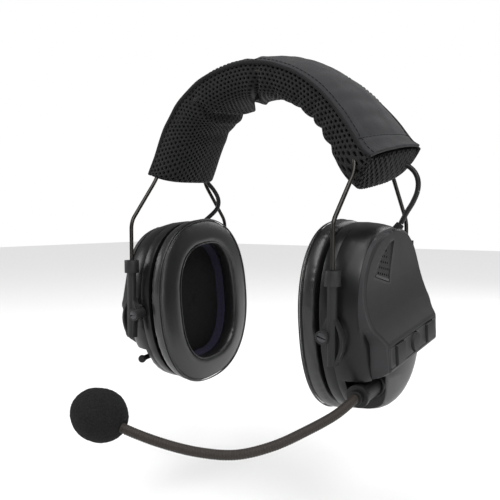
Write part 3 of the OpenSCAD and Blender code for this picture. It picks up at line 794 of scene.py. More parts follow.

# %% [markdown]
# ### The cable from cup to cup
#
# One thin cable joins the cups through the sleeve, with a free loop on each
# side so that the cups can slide. Each loop crosses the slide joint, so it is
# made in two lengths that meet: the upper between the headband and the
# slider, and the lower between the slider and the cup. The middle stays still
# in the sleeve.

# %% Cable
cable_radius = 1.35
cable_points = [
    (69.5, 20.77, 45.3), (72.5, 21, 51), (75.5, 21.5, 56), (77.8, 22, 62), (78, 22, 67.5),
    (75.8, 22, 72.3), (71.5, 21, 75.8), (66, 17.5, 77.5), (60, 13, 83), (51, 10, 93),
    (40, 8, 103.5), (27, 8, 112), (14, 8, 116.5), (0, 8, 118), (-14, 8, 116.5),
    (-27, 8, 112), (-40, 8, 103.5), (-51, 10, 93), (-58, 13, 82), (-60.5, 17.5, 75.5),
    (-61, 22, 70.5), (-59.5, 26, 66), (-58, 28.5, 61), (-58.5, 29.5, 56),
    (-60.5, 27.5, 51.5), (-66.5, 21.91, 44.24),
]
cable_steps = 6
cable_line = smooth_route(cable_points, cable_steps)
left_split = 3 * cable_steps
left_entry = 7 * cable_steps
right_entry = 18 * cable_steps
right_split = 22 * cable_steps
cable_lengths = [
    ("left_cable_foot", cable_line[: left_split + 1]),
    ("left_cable_loop", cable_line[left_split : left_entry + 1]),
    ("sleeve_cable", cable_line[left_entry : right_entry + 1]),
    ("right_cable_loop", cable_line[right_entry : right_split + 1]),
    ("right_cable_foot", cable_line[right_split:]),
]
cable = {}
for name, route in cable_lengths:
    cable[name] = swept_piece(name, route, cable_radius, cable_jacket, step_mm=0.8, sides=14)
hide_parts("cup_cable")
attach(cable["sleeve_cable"], "headband")
cable_ends = {
    "left_cable_loop": ("headband", "left_front_slide", left_entry, left_split),
    "left_cable_foot": ("left_front_slide", "left_cup", left_split, 0),
    "right_cable_loop": ("headband", "right_front_slide", right_entry, right_split),
    "right_cable_foot": ("right_front_slide", "right_cup", right_split, len(cable_line) - 1),
}
for name, (still, moving, first, last) in cable_ends.items():
    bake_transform(cable[name])
print("cable", round(route_length(cable_line)), "mm from cup to cup")

# %% [markdown]
# ### The gooseneck
#
# The boom is a steel flex arm in a tight ribbed jacket with a rib every
# millimetre. It is one swept piece whose width rises and falls with its length.

# %% Gooseneck
boom_radius = 2.12
rib_pitch = 1.15
rib_height = 0.11
boom_step = 0.23
boom_points = [
    (70, -32.66, -35.37), (70, -36.58, -36.28), (67.6, -48, -40), (62, -62.5, -44), (54, -76.5, -48.3),
    (43, -88, -51), (30, -97, -50), (15, -104, -47), (0, -109, -43), (-8.7, -111, -39.8),
]
boom_line = smooth_route(boom_points, 8)
boom_line = [boom_line[0] + Vector((0, 1.6, 0.3))] + boom_line
gooseneck = swept_piece(
    "ribbed_gooseneck", boom_line, boom_radius, gooseneck_jacket,
    rib_pitch_mm=rib_pitch, rib_mm=rib_height, step_mm=boom_step, sides=20,
)
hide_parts("gooseneck_inner", "gooseneck_outer", "flex_ball")
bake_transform(gooseneck)
print("gooseneck", round(route_length(boom_line)), "mm,", triangles(gooseneck), "triangles")

# %% [markdown]
# ### The foam windscreen
#
# The windscreen is a slip-on ball cut from open polyurethane foam. Cut foam is
# never a true ball: it is a little lopsided, its skin is pitted, and it draws in
# where the stem goes through. A fine ball of triangles is stretched, pushed in
# and out by noise of three sizes, and dimpled round the stem.

# %% Windscreen
foam_centre = Vector((-14, -112, -38))
stem_axis = (Vector(boom_points[-1]) - Vector(boom_points[-3])).normalized()
foam_half_length = 13.4
foam_half_width = 11.5
side_axis = stem_axis.cross(Vector((0, 0, 1))).normalized()
other_axis = stem_axis.cross(side_axis)
ball = bmesh.new()
bmesh.ops.create_icosphere(ball, subdivisions=6, radius=1)
for point in ball.verts:
    way = point.co.copy()
    lump = noise.noise(way * 1.3 + Vector((3, 1, 7)))
    pit = noise.noise(way * 9 + Vector((5, 2, 1)))
    pore = noise.noise(way * 26 + Vector((1, 8, 4)))
    size = 1 + 0.035 * lump + 0.012 * pit + 0.012 * pore
    flat_side = max(0.0, way.x) ** 6
    dimple = math.exp(-((1 + way.x) / 0.035)) * 0.16
    along = way.x * foam_half_length * (size - dimple - 0.03 * flat_side)
    round_x = way.y * foam_half_width * size
    round_y = way.z * foam_half_width * size
    point.co = (foam_centre + stem_axis * along + side_axis * round_x + other_axis * round_y) * MM
foam_mesh = bpy.data.meshes.new("foam_windscreen_ball")
bmesh.ops.recalc_face_normals(ball, faces=ball.faces)
ball.to_mesh(foam_mesh)
ball.free()
shade_smooth(foam_mesh)
foam_mesh.materials.append(windscreen_foam)
windscreen = new_object("foam_windscreen_ball", foam_mesh)
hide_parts("foam_windscreen")
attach(windscreen, "boom_arm")
print("windscreen", triangles(windscreen), "triangles")

# %% [markdown]
# ## The padded sleeve
#
# The sleeve is three layers sewn together: woven nylon outside, a soft foam pad
# round the wires, and a thick knitted spacer net on the side that touches hair.
# All three follow one arch, so the arch is worked out once. `sleeve_places` gives
# points from three numbers: how far along the sleeve, how far across, how far out.
# The pad gathers into folds where it is bent most, so the folds belong to the
# arch too, and every layer falls into them together.

# %% The sleeve's arch
seam_points = [
    (-71.5, 75.5), (-67.5, 83.5), (-62.5, 94), (-56, 105.5), (-46, 117), (-32, 126), (-16, 131.5), (0, 133),
    (16, 131), (32, 125), (46, 115.5), (57, 104.5), (65.5, 94), (71.5, 85.5), (75, 82.5),
]
roll_degrees = [4, 4, 4, 4, 4, 4, 5, 5, 6, 7, 8, 9, 11, 12, 13]
arch_steps = 12
fine_seam = smooth_route([(x, z, 0) for x, z in seam_points], arch_steps)
fine_seam = np.array([(p.x, p.y) for p in fine_seam])
seam_steps = np.linalg.norm(np.diff(fine_seam, axis=0), axis=1)
seam_arc = np.concatenate([[0], np.cumsum(seam_steps)])
sleeve_length = float(seam_arc[-1])
fine_roll = np.interp(np.arange(len(fine_seam)) / arch_steps, range(len(roll_degrees)), roll_degrees)
seam_way = np.gradient(fine_seam, seam_arc, axis=0)
seam_way /= np.linalg.norm(seam_way, axis=1)[:, None]
half_width = 23.0
crown_height = 4.0
print("sleeve", round(sleeve_length), "mm along its outer seam")


def sleeve_places(along, across, out):
    """Points of the sleeve in millimetres, from arrays of the same shape."""
    along, across, out = np.broadcast_arrays(along, across, out)
    inside = np.clip(along, 0, sleeve_length)
    x = np.interp(inside, seam_arc, fine_seam[:, 0])
    z = np.interp(inside, seam_arc, fine_seam[:, 1])
    way_x = np.interp(inside, seam_arc, seam_way[:, 0])
    way_z = np.interp(inside, seam_arc, seam_way[:, 1])
    size = np.hypot(way_x, way_z)
    way_x, way_z = way_x / size, way_z / size
    x = x + way_x * (along - inside)
    z = z + way_z * (along - inside)
    roll = np.radians(np.interp(inside, seam_arc, fine_roll))
    lift = across * np.sin(roll) + out * np.cos(roll)
    side = across * np.cos(roll) - out * np.sin(roll)
    return np.stack([x - way_z * lift, side, z + way_x * lift], axis=-1)


# Each fold: millimetres along the sleeve, width, depth, and slant across the sleeve
crown_arc = float(np.interp(0, fine_seam[:, 0], seam_arc))
folds = [
    (crown_arc - 11, 2.6, 4.8, -0.8),
    (crown_arc - 40, 3.2, 3.4, 0.12),
    (crown_arc + 22, 3.0, 1.0, 0.08),
    (crown_arc + 42, 2.6, 1.3, 0.05),
    (crown_arc + 54, 2.4, 1.4, -0.04),
    (crown_arc + 65, 2.4, 1.3, 0.06),
    (crown_arc + 75, 2.4, 1.2, -0.05),
    (crown_arc - 62, 3.6, 0.9, 0.1),
]


def fold_depth(along, across):
    """How far the inner side draws in at a place, in millimetres."""
    depth = np.zeros(np.broadcast(along, across).shape)
    for place, width, deep, slant in folds:
        off = (along - place - slant * across) / width
        depth = depth + deep * (np.exp(-off * off) - 0.28 * np.exp(-((np.abs(off) - 2.1) ** 2)))
    return depth


# %% [markdown]
# ### The pad inside
#
# The pad is a strip of soft foam, plump on its inner side. Its section is half
# of a rounded rectangle under a crowned top. At both ends the net is gathered up
# to the hem, so the pad rounds off there like a pillow: a quarter of an ellipse
# along the strip gives how deep it still is. Both ends hang a little past the
# hem and spread wider, the left one more. The foam shows only behind the net's
# holes, and its near-black colour is painted shade for those holes.

# %% Sleeve sections
belly_width = 22.6
belly_top = -1.5
belly_depth = 17.8
end_round = 6.5
belly_power = 0.56
right_overhang = 2.0
left_overhang = 6.0
end_spread = 0.04
end_belly_spread = 0.1
end_spread_run = 38
left_sag = 0.22
left_sag_run = 34
gather_depth = 13


def belly_line(turn, inset):
    """(across, out) of the pad's inner side; turn runs 0 to 1 from back to front."""
    angle = math.pi * np.asarray(turn)
    c, s = np.cos(angle), np.sin(angle)
    across = (belly_width - inset) * np.sign(c) * np.abs(c) ** belly_power
    out = belly_top - (belly_depth - inset) * np.abs(s) ** belly_power
    return across, out


def crown(along, across):
    """How far out the top of the strip stands; it flattens towards the hems."""
    from_end = np.minimum(along, sleeve_length - along)
    flatter = 0.4 + 0.6 * np.clip(from_end / 35, 0, 1)
    return crown_height * flatter * (1 - (across / half_width) ** 2)


def belly_places(along, turn, height, depth_share):
    """Points on the pad's inner side, raised by height along the section's own slope."""
    across, out = belly_line(turn, 0.0)
    centre_out = belly_top - 0.35 * belly_depth
    reach = np.hypot(across, out - centre_out)
    inner = np.clip(-(out - belly_top) / belly_depth, 0, 1)
    share = 1 + (height - fold_depth(along, across) * inner) / reach
    raised = centre_out + (out - centre_out) * share
    from_end = np.minimum(along, sleeve_length - along)
    near_end = np.clip(1 - from_end / end_spread_run, 0, 1)
    near_left = np.clip(1 - (sleeve_length - along) / left_sag_run, 0, 1)
    wider = 1 + (end_spread + end_belly_spread * inner) * near_end * np.sqrt(depth_share)
    deeper = 1 + left_sag * near_left
    out = belly_top + (raised - belly_top) * depth_share * deeper
    return sleeve_places(along, across * share * wider, out)


# %% A path along the strip that turns up at both ends
quarter = np.linspace(0, math.pi / 2, 30)
right_end = end_round * (1 - np.cos(quarter)) - right_overhang * np.sin(quarter)
left_end = end_round * (1 - np.cos(quarter)) - left_overhang * np.sin(quarter)
path_along = np.concatenate([right_end, sleeve_length - left_end[::-1]])
path_depth = np.concatenate([np.sin(quarter), np.sin(quarter[::-1])])
path_steps = np.hypot(np.diff(path_along), gather_depth * np.diff(path_depth))
path_arc = np.concatenate([[0], np.cumsum(path_steps)])
path_length = float(path_arc[-1])
print("path from hem to hem", round(path_length), "mm")


def along_path(share, height):
    """(along, depth share) at a share of the path; a height below 0 sinks in at the ends."""
    arc = np.asarray(share) * path_length
    depth = np.interp(arc, path_arc, path_depth)
    inwards = np.sign(0.5 - np.asarray(share)) * (1 - depth ** 4)
    return np.interp(arc, path_arc, path_along) - height * inwards, depth


# %% The pad itself, sunk under the net and the cover
pad_rows = 260
pad_round = 48
pad_top_points = 14
pad_top_inset = 1.4
sunk_under_net = -1.15
sunk_at_ends = -1.3
sunk_under_cover = 2.6
turns = np.linspace(0, 1, pad_round)
top_across = np.linspace(-belly_width + pad_top_inset, belly_width - pad_top_inset, pad_top_points)
rows = []
for k in range(pad_rows):
    along, depth = along_path(k / (pad_rows - 1), sunk_at_ends)
    belly = belly_places(along, turns, sunk_under_net, depth)
    top = sleeve_places(along, top_across, crown(along, top_across) - sunk_under_cover)
    rows.append(np.concatenate([belly, top]))
ring_size = len(rows[0])
points = np.concatenate(rows)
faces = grid_faces(pad_rows, ring_size, close_columns=True)
faces += [tuple(range(ring_size)), tuple((pad_rows - 1) * ring_size + i for i in range(ring_size))]
sleeve_pad = mesh_piece("sleeve_pad", points, faces)
sleeve_pad.data.materials.append(pad_painted_shade)
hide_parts("head_pad")
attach(sleeve_pad, "headband")
print("pad", triangles(sleeve_pad), "triangles")

# %% [markdown]
# ### The spacer net
#
# Spacer net is warp-knitted on a machine with two needle beds, which leaves a
# thick cloth with staggered rows of eyelets right through its outer face. One
# eyelet is modelled as a small hexagonal tile: a rounded rim of yarn that dips
# into a hole. Geometry Nodes lay the tiles out flat in staggered rows, exactly
# as the machine knits them, and the flat net is then wrapped round the pad.

# %% One eyelet tile
hexagon = [(0.5, 0.3333), (0, 0.6667), (-0.5, 0.3333), (-0.5, -0.3333), (0, -0.6667), (0.5, -0.3333)]


def eyelet_tile(pitch_along, pitch_across, hole_share, depth):
    """A hexagonal tile with a rounded hole, flat in XY, in millimetres."""
    spots = 12
    outline = []
    corners = [Vector((pitch_along * x, pitch_across * y, 0)) for x, y in hexagon]
    for i in range(6):
        outline.append(corners[i])
        outline.append((corners[i] + corners[(i + 1) % 6]) / 2)
    rings = []
    for share, drop in ((1.0, 0.12), (0.78, 0.0), (hole_share, 0.25), (hole_share * 0.86, depth)):
        ring = []
        for spot in outline:
            turn = math.atan2(spot.y, spot.x)
            round_spot = (math.cos(turn) * pitch_along * 0.5, math.sin(turn) * pitch_across * 0.56, 0)
            place = spot if share == 1.0 else Vector(round_spot) * share
            ring.append((place.x, place.y, -drop))
        rings.append(ring)
    tile_points = [p for ring in rings for p in ring]
    tile_faces = grid_faces(len(rings), spots, close_columns=True)
    return mesh_piece("eyelet_tile", tile_points, tile_faces, outwards=False)


net_pitch_along = 2.9
net_pitch_across = 2.15
hole_share = 0.62
net_thickness = 1.1
net_stretch = 0.92
tile = eyelet_tile(net_pitch_along, net_pitch_across, hole_share, net_thickness)
belly_turns = np.linspace(0, 1, 400)
belly_across, belly_out = belly_line(belly_turns, 0.0)
belly_steps = np.hypot(np.diff(belly_across), np.diff(belly_out))
belly_arc = np.concatenate([[0], np.cumsum(belly_steps)])
belly_length = float(belly_arc[-1])
columns = int(path_length * net_stretch / net_pitch_along)
net_rows = int(belly_length / net_pitch_across)
print("net:", columns, "by", net_rows, "eyelets round", round(belly_length), "mm of pad")

# %% Lay the tiles out with Geometry Nodes
net_tree, net_in = new_tree(
    "staggered_eyelets",
    [
        ("Columns", "NodeSocketInt", 10),
        ("Rows", "NodeSocketInt", 10),
        ("Pitch Along", FLOAT, 0.003),
        ("Pitch Across", FLOAT, 0.002),
        ("Eyelet", "NodeSocketObject", None),
        ("Finish", "NodeSocketMaterial", None),
    ],
)
count = add(
    net_tree, "ShaderNodeMath", {0: net_in["Columns"], 1: net_in["Rows"]}, operation="MULTIPLY"
).outputs[0]
spots = add(net_tree, "GeometryNodePoints", {"Count": count}).outputs[0]
index = add(net_tree, "GeometryNodeInputIndex").outputs[0]
row_number = add(
    net_tree, "ShaderNodeMath", {0: index, 1: net_in["Columns"]}, operation="DIVIDE"
).outputs[0]
row_floor = add(net_tree, "ShaderNodeMath", {0: row_number}, operation="FLOOR").outputs[0]
column_number = add(
    net_tree, "ShaderNodeMath", {0: index, 1: net_in["Columns"]}, operation="MODULO"
).outputs[0]
odd = add(net_tree, "ShaderNodeMath", {0: row_floor, 1: 2.0}, operation="MODULO").outputs[0]
shift = add(
    net_tree, "ShaderNodeMath", {0: odd, 1: 0.5, 2: column_number}, operation="MULTIPLY_ADD"
).outputs[0]
spot_x = add(
    net_tree, "ShaderNodeMath", {0: shift, 1: net_in["Pitch Along"]}, operation="MULTIPLY"
).outputs[0]
spot_y = add(
    net_tree, "ShaderNodeMath", {0: row_floor, 1: net_in["Pitch Across"]}, operation="MULTIPLY"
).outputs[0]
spot = add(net_tree, "ShaderNodeCombineXYZ", {"X": spot_x, "Y": spot_y}).outputs[0]
placed = add(net_tree, "GeometryNodeSetPosition", {"Geometry": spots, "Position": spot}).outputs[0]
eyelet = add(net_tree, "GeometryNodeObjectInfo", {"Object": net_in["Eyelet"]}).outputs["Geometry"]
copies = add(net_tree, "GeometryNodeInstanceOnPoints", {"Points": placed, "Instance": eyelet}).outputs[0]
real = add(net_tree, "GeometryNodeRealizeInstances", {"Geometry": copies}).outputs[0]
joined = add(
    net_tree, "GeometryNodeMergeByDistance", {"Geometry": real, "Distance": 0.02 * MM}
).outputs[0]
painted = add(
    net_tree, "GeometryNodeSetMaterial", {"Geometry": joined, "Material": net_in["Finish"]}
).outputs[0]
add(net_tree, "NodeGroupOutput", {"Geometry": painted})

# %% Wrap the flat net round the pad
net = run_tree(
    mesh_piece("sleeve_spacer_net", [(0, 0, 0)], [], outwards=False),
    net_tree,
    {
        "Columns": columns,
        "Rows": net_rows,
        "Pitch Along": net_pitch_along * MM,
        "Pitch Across": net_pitch_across * MM,
        "Eyelet": tile,
        "Finish": net_yarn,
    },
)
bpy.data.objects.remove(tile)


def points_of(mesh):
    """A mesh's points as an array, in metres."""
    spots = np.zeros(len(mesh.vertices) * 3)
    mesh.vertices.foreach_get("co", spots)
    return spots.reshape(-1, 3)


def move_points(mesh, places):
    """Puts a mesh's points at these places, in metres."""
    mesh.vertices.foreach_set("co", places.astype(np.float32).ravel())
    mesh.update()


flat = points_of(net.data) / MM
along_share = (flat[:, 0] - flat[:, 0].min()) / np.ptp(flat[:, 0])
arc_place = (flat[:, 1] - flat[:, 1].min()) / np.ptp(flat[:, 1]) * belly_length
turn_place = np.interp(arc_place, belly_arc, belly_turns)
along_place, depth_place = along_path(along_share, flat[:, 2])
wrapped = belly_places(along_place, turn_place, flat[:, 2], depth_place)
move_points(net.data, wrapped * MM)
shade_smooth(net.data)
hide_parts("head_mesh_liner")
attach(net, "headband")
print("net", triangles(net), "triangles")

# %% [markdown]
# ### The woven cover
#
# The outer side is one strip of pack cloth, turned under and sewn to the net
# along both edges, with a folded hem at each end. It lies smoothly over the
# crown, with a few slow ripples where the pad under it gathers. A second map of
# its flat millimetres, `cloth_mm`, lets the weave follow the strip.

# %% Cover
cover_rows = 210
cover_columns = 30
cloth_thickness = 1.3
cloth_sink = 0.5
edge_roll = 0.8
under_share = 0.965
hem_width = 8.0
cover_along = np.linspace(-1.0, sleeve_length + 1.0, cover_rows)
cover_turn = np.linspace(-math.pi / 2, math.pi / 2, cover_columns) * 0.96
cover_across = half_width * np.sin(cover_turn) / math.sin(0.48 * math.pi)


def cover_height(along, across):
    """How far out the cloth lies: its crown, slow ripples and the doubled hems."""
    from_end = np.minimum(along, sleeve_length - along)
    slow = np.array([
        noise.noise(Vector((a * 0.045, b * 0.06, 3.0)))
        + 0.4 * noise.noise(Vector((a * 0.13, b * 0.16, 9.0)))
        for a, b in zip(np.ravel(along), np.ravel(across))
    ]).reshape(np.shape(along))
    edge_calm = 1 - (np.abs(across) / half_width) ** 4
    doubled = 0.4 / (1 + np.exp((from_end - hem_width) / 0.3))
    drawn_in = -0.22 * np.exp(-(((from_end - hem_width) / 0.9) ** 2))
    ripples = 0.8 * slow * edge_calm
    gathers = 0.2 * fold_depth(along, across) * edge_calm
    return crown(along, across) + ripples - gathers + doubled + drawn_in


along_grid, across_grid = np.meshgrid(cover_along, cover_across, indexing="ij")
top_out = cover_height(along_grid, across_grid) - cloth_sink
edge_turn = edge_roll * (np.abs(across_grid) / half_width) ** 14
top_places = sleeve_places(along_grid, across_grid, top_out - edge_turn)
under_out = top_out - edge_turn - cloth_thickness
under_places = sleeve_places(along_grid, across_grid * under_share, under_out)
points = np.concatenate([top_places.reshape(-1, 3), under_places.reshape(-1, 3)])
shift = cover_rows * cover_columns
top_faces = grid_faces(cover_rows, cover_columns)
under_faces = [tuple(shift + i for i in face[::-1]) for face in top_faces]
rim = [r * cover_columns for r in range(cover_rows)]
far_rim = [r * cover_columns + cover_columns - 1 for r in range(cover_rows)]
first_row = list(range(cover_columns))
last_row = [(cover_rows - 1) * cover_columns + c for c in range(cover_columns)]
edge_faces = []
for edge in (rim, far_rim, first_row, last_row):
    edge_faces += [(a, b, b + shift, a + shift) for a, b in zip(edge, edge[1:])]
cover = mesh_piece("sleeve_woven_cover", points, top_faces + under_faces + edge_faces)
cloth_uv = cover.data.uv_layers.new(name="cloth_mm")
flat_uv = np.stack([along_grid.ravel(), across_grid.ravel()], axis=-1)
flat_uv = np.concatenate([flat_uv, flat_uv])
loop_vertex = np.zeros(len(cover.data.loops), dtype=np.int32)
cover.data.loops.foreach_get("vertex_index", loop_vertex)
cloth_uv.data.foreach_set("uv", flat_uv[loop_vertex].astype(np.float32).ravel())
cover.data.materials.append(woven_nylon)
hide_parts("head_cover")
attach(cover, "headband")
print("cover", triangles(cover), "triangles")

# %% [markdown]
# ### Piped edges and stitches
#
# A thin cord is sewn in where the cloth meets the net, and it stands out as a
# narrow dark bead along each long edge. Beside it runs the row of lockstitches
# that holds all the layers, and another row holds each hem. A stitch is a tiny
# capsule of thread. Geometry Nodes set one every few millimetres along a guide
# curve and turn it to lie along the seam.

# %% Piped edges
bead_rows = 300
bead_round = 10
bead_half_width = 0.62
bead_half_height = 0.95
bead_along = np.linspace(-0.6, sleeve_length + 0.6, bead_rows)
bead_turns = np.linspace(0, 2 * math.pi, bead_round, endpoint=False)
for label, edge in (("front", -1), ("rear", 1)):
    ripple = np.array([noise.noise(Vector((a * 0.09, edge * 4.0, 0.5))) for a in bead_along])
    middle = edge * (half_width - 0.1 + 0.25 * ripple)
    across_bead = middle[:, None] + bead_half_width * np.cos(bead_turns)[None, :]
    out_bead = belly_top + 0.25 * ripple[:, None] + bead_half_height * np.sin(bead_turns)[None, :]
    places = sleeve_places(bead_along[:, None] + 0 * across_bead, across_bead, out_bead)
    bead_faces = grid_faces(bead_rows, bead_round, close_columns=True)
    last_ring = (bead_rows - 1) * bead_round
    bead_faces += [tuple(range(bead_round)), tuple(range(last_ring, last_ring + bead_round))]
    bead = mesh_piece(label + "_piped_edge", places.reshape(-1, 3), bead_faces)
    bead.data.materials.append(seam_tape)
    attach(bead, "headband")
print("piped edges ready")

# %% Stitches
stitch_tree, stitch_in = new_tree(
    "stitches_along_a_seam",
    [
        ("Seam", "NodeSocketObject", None),
        ("Pitch", FLOAT, 0.003),
        ("Stitch", "NodeSocketObject", None),
        ("Finish", "NodeSocketMaterial", None),
    ],
)
seam_line = add(stitch_tree, "GeometryNodeObjectInfo", {"Object": stitch_in["Seam"]}).outputs["Geometry"]
seam_curve = add(stitch_tree, "GeometryNodeMeshToCurve", {"Mesh": seam_line}).outputs[0]
stitch_spots = add(
    stitch_tree, "GeometryNodeCurveToPoints",
    {"Curve": seam_curve, "Length": stitch_in["Pitch"]}, mode="LENGTH",
)
stitch_shape = add(stitch_tree, "GeometryNodeObjectInfo", {"Object": stitch_in["Stitch"]}).outputs["Geometry"]
stitch_copies = add(
    stitch_tree, "GeometryNodeInstanceOnPoints",
    {
        "Points": stitch_spots.outputs[0],
        "Instance": stitch_shape,
        "Rotation": stitch_spots.outputs["Rotation"],
    },
).outputs[0]
stitch_real = add(stitch_tree, "GeometryNodeRealizeInstances", {"Geometry": stitch_copies}).outputs[0]
stitch_painted = add(
    stitch_tree, "GeometryNodeSetMaterial", {"Geometry": stitch_real, "Material": stitch_in["Finish"]}
).outputs[0]
add(stitch_tree, "NodeGroupOutput", {"Geometry": stitch_painted})


stitch_pitch = 2.6
# Rings of one stitch: half its length along the seam, and its radius there
stitch_rings = [(-0.95, 0.08), (-0.6, 0.2), (0.6, 0.2), (0.95, 0.08)]


def stitch_row(name, places):
    """A row of stitches along a line of places, in millimetres."""
    count = len(places)
    line = bpy.data.meshes.new("seam_line")
    line.from_pydata([Vector(p) * MM for p in places], [(i, i + 1) for i in range(count - 1)], [])
    guide = new_object("seam_line", line)
    turns = np.linspace(0, 2 * math.pi, 6, endpoint=False)
    spots = [(r * math.cos(t), r * math.sin(t), z) for z, r in stitch_rings for t in turns]
    caps = [tuple(range(6)), tuple(range(18, 24))]
    stitch = mesh_piece("thread_stitch", spots, grid_faces(4, 6, close_columns=True) + caps)
    row = run_tree(
        mesh_piece(name, [(0, 0, 0)], [], outwards=False),
        stitch_tree,
        {"Seam": guide, "Pitch": stitch_pitch * MM, "Stitch": stitch, "Finish": seam_tape},
    )
    bpy.data.objects.remove(stitch)
    bpy.data.objects.remove(guide)
    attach(row, "headband")
    print(name, triangles(row), "triangles")


seam_from_edge = 2.6
seam_stand = 0.05
hem_from_edge = 1.5
hem_sink = 0.42
seam_run = np.linspace(1, sleeve_length - 1, 220)
for label, edge in (("front", -1), ("rear", 1)):
    across_seam = np.full(len(seam_run), edge * (half_width - seam_from_edge))
    seam_height = cover_height(seam_run, across_seam) - cloth_sink + seam_stand
    stitch_row(label + "_seam_stitches", sleeve_places(seam_run, across_seam, seam_height))
hem_run = np.linspace(-half_width + hem_from_edge, half_width - hem_from_edge, 40)
for label, place in (("right", hem_width), ("left", sleeve_length - hem_width)):
    hem_height = cover_height(np.full(len(hem_run), place), hem_run) - hem_sink
    stitch_row(label + "_hem_stitches", sleeve_places(place, hem_run, hem_height))

# %% [markdown]
# ## The ear cups' soft parts
#
# Both cups are the same mouldings, mirrored. Everything is worked out upright
# for the wearer's left cup, where X points away from the head, and mirrored by
# turning the sign of X. On the headset the cups are pitched a few degrees nose
# down, so a finished cup piece is turned about X by that angle, in its mesh. An
# oval of the frame's own kind, a little squarer than an ellipse, gives each
# outline.

# %% Ovals and the pitch of the cups
cup_drop = 1.0
shell_power = 2.3
hole_power = 2.6
pitch_turn = Matrix.Rotation(math.radians(pitch_degrees), 4, "X")


def oval(half_y, half_z, power, count):
    """Points (y, z) round a squarish ellipse, as an array."""
    turn = np.linspace(0, 2 * math.pi, count, endpoint=False)
    c, s = np.cos(turn), np.sin(turn)
    y = half_y * np.sign(c) * np.abs(c) ** (2 / power)
    z = half_z * np.sign(s) * np.abs(s) ** (2 / power) - cup_drop
    return np.stack([y, z], axis=-1)


def ring_piece(name, stations, side):
    """A ring from stations (x, outline); the outline is an array of (y, z)."""
    count = len(stations[0][1])
    rows = [np.column_stack([np.full(count, side * x), outline]) for x, outline in stations]
    faces = grid_faces(len(rows), count, close_rows=True, close_columns=True)
    return mesh_piece(name, np.concatenate(rows), faces)


def set_on_cup(piece, side_name, material, slot_name, *nodes):
    """Pitches a finished piece with its cup, paints it and makes it ride there."""
    piece.data.transform(pitch_turn)
    piece.data.materials.clear()
    piece.data.materials.append(material)
    if nodes:
        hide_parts(*nodes)
    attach(piece, side_name + "_cup")
    print(piece.name, triangles(piece), "triangles")


# %% [markdown]
# ### Ear cushions
#
# A cushion is two rings of leatherette welded together at their outer edge over
# a ring of soft foam: a straight side band, and a broad face that stands highest
# round the opening. Pressure from the foam swells the sheet until it is tight,
# and that is what a cloth simulation does: the ring starts a little thin, is
# remeshed to even squares, and is blown up with gravity off. The side band is
# held, and no point may move further than a cap, so the cushion stays in its own
# space. The weld's two lips and the piping round the opening are added after
# that, because remeshing would rub out anything so thin.

# %% Simulate a padded piece
def subdivide_once(piece):
    """Adds one round of subdivision and leaves one plain mesh."""
    finer = piece.modifiers.new("finer", "SUBSURF")
    finer.levels = 1
    finer.render_levels = 1
    finish_modifiers(piece)


last_frame = 20


def swell(piece, voxel_mm, pressure, cap_mm, held):
    """Remeshes a piece, blows it up as cloth, caps the move and smooths the result."""
    remesh = piece.modifiers.new("even_squares", "REMESH")
    remesh.mode = "VOXEL"
    remesh.voxel_size = voxel_mm * MM
    finish_modifiers(piece)
    start = points_of(piece.data)
    group = piece.vertex_groups.new(name="held")
    group.add([int(i) for i in np.nonzero(held(start / MM))[0]], 1.0, "REPLACE")
    cloth = piece.modifiers.new("swelling", "CLOTH")
    cloth.settings.quality = 6
    cloth.settings.mass = 0.15
    cloth.settings.tension_stiffness = 20
    cloth.settings.compression_stiffness = 20
    cloth.settings.bending_stiffness = 1.0
    cloth.settings.use_pressure = True
    cloth.settings.uniform_pressure_force = pressure
    cloth.settings.effector_weights.gravity = 0
    cloth.settings.vertex_group_mass = "held"
    cloth.collision_settings.use_self_collision = False
    cloth.point_cache.frame_start = 1
    cloth.point_cache.frame_end = last_frame
    for frame_number in range(1, last_frame + 1):
        bpy.context.scene.frame_set(frame_number)
    depsgraph = bpy.context.evaluated_depsgraph_get()
    end = points_of(piece.evaluated_get(depsgraph).data)
    piece.modifiers.clear()
    bpy.context.scene.frame_set(1)
    move = end - start
    far = np.linalg.norm(move, axis=1)
    cap = cap_mm * MM
    share = cap * np.tanh(far / cap) / np.maximum(far, 1e-9)
    placed = start + move * share[:, None]
    move_points(piece.data, placed)
    even = piece.modifiers.new("even_out", "SMOOTH")
    even.factor = 0.5
    even.iterations = 4
    subdivide_once(piece)
    shade_smooth(piece.data)
    print(piece.name, "swelled by up to", round(float(far.max()) / MM, 2), "mm")


# %% Make the cushions
# The section: X, and the share of the way from the opening to the outside
cushion_section = [
    (52.4, 0.06), (50.5, 0.0), (47.5, -0.01), (45.0, -0.005), (43.0, 0.01), (42.0, 0.04), (41.5, 0.10),
    (41.45, 0.18), (41.7, 0.30), (42.1, 0.45), (42.5, 0.60), (43.0, 0.75), (43.6, 0.88), (44.1, 0.95),
    (44.6, 0.985), (45.6, 1.0), (47.5, 1.0), (49.5, 1.0), (51.0, 0.985), (52.4, 0.93),
]
cushion_outside = oval(40.1, 48.2, shell_power, 140)
cushion_opening = oval(24.8, 33.8, hole_power, 140)


def between(share, outside=cushion_outside, opening=cushion_opening):
    """An outline part of the way from the cushion's opening to its outside."""
    return opening * (1 - share) + outside * share


held_beyond_x = 45.4
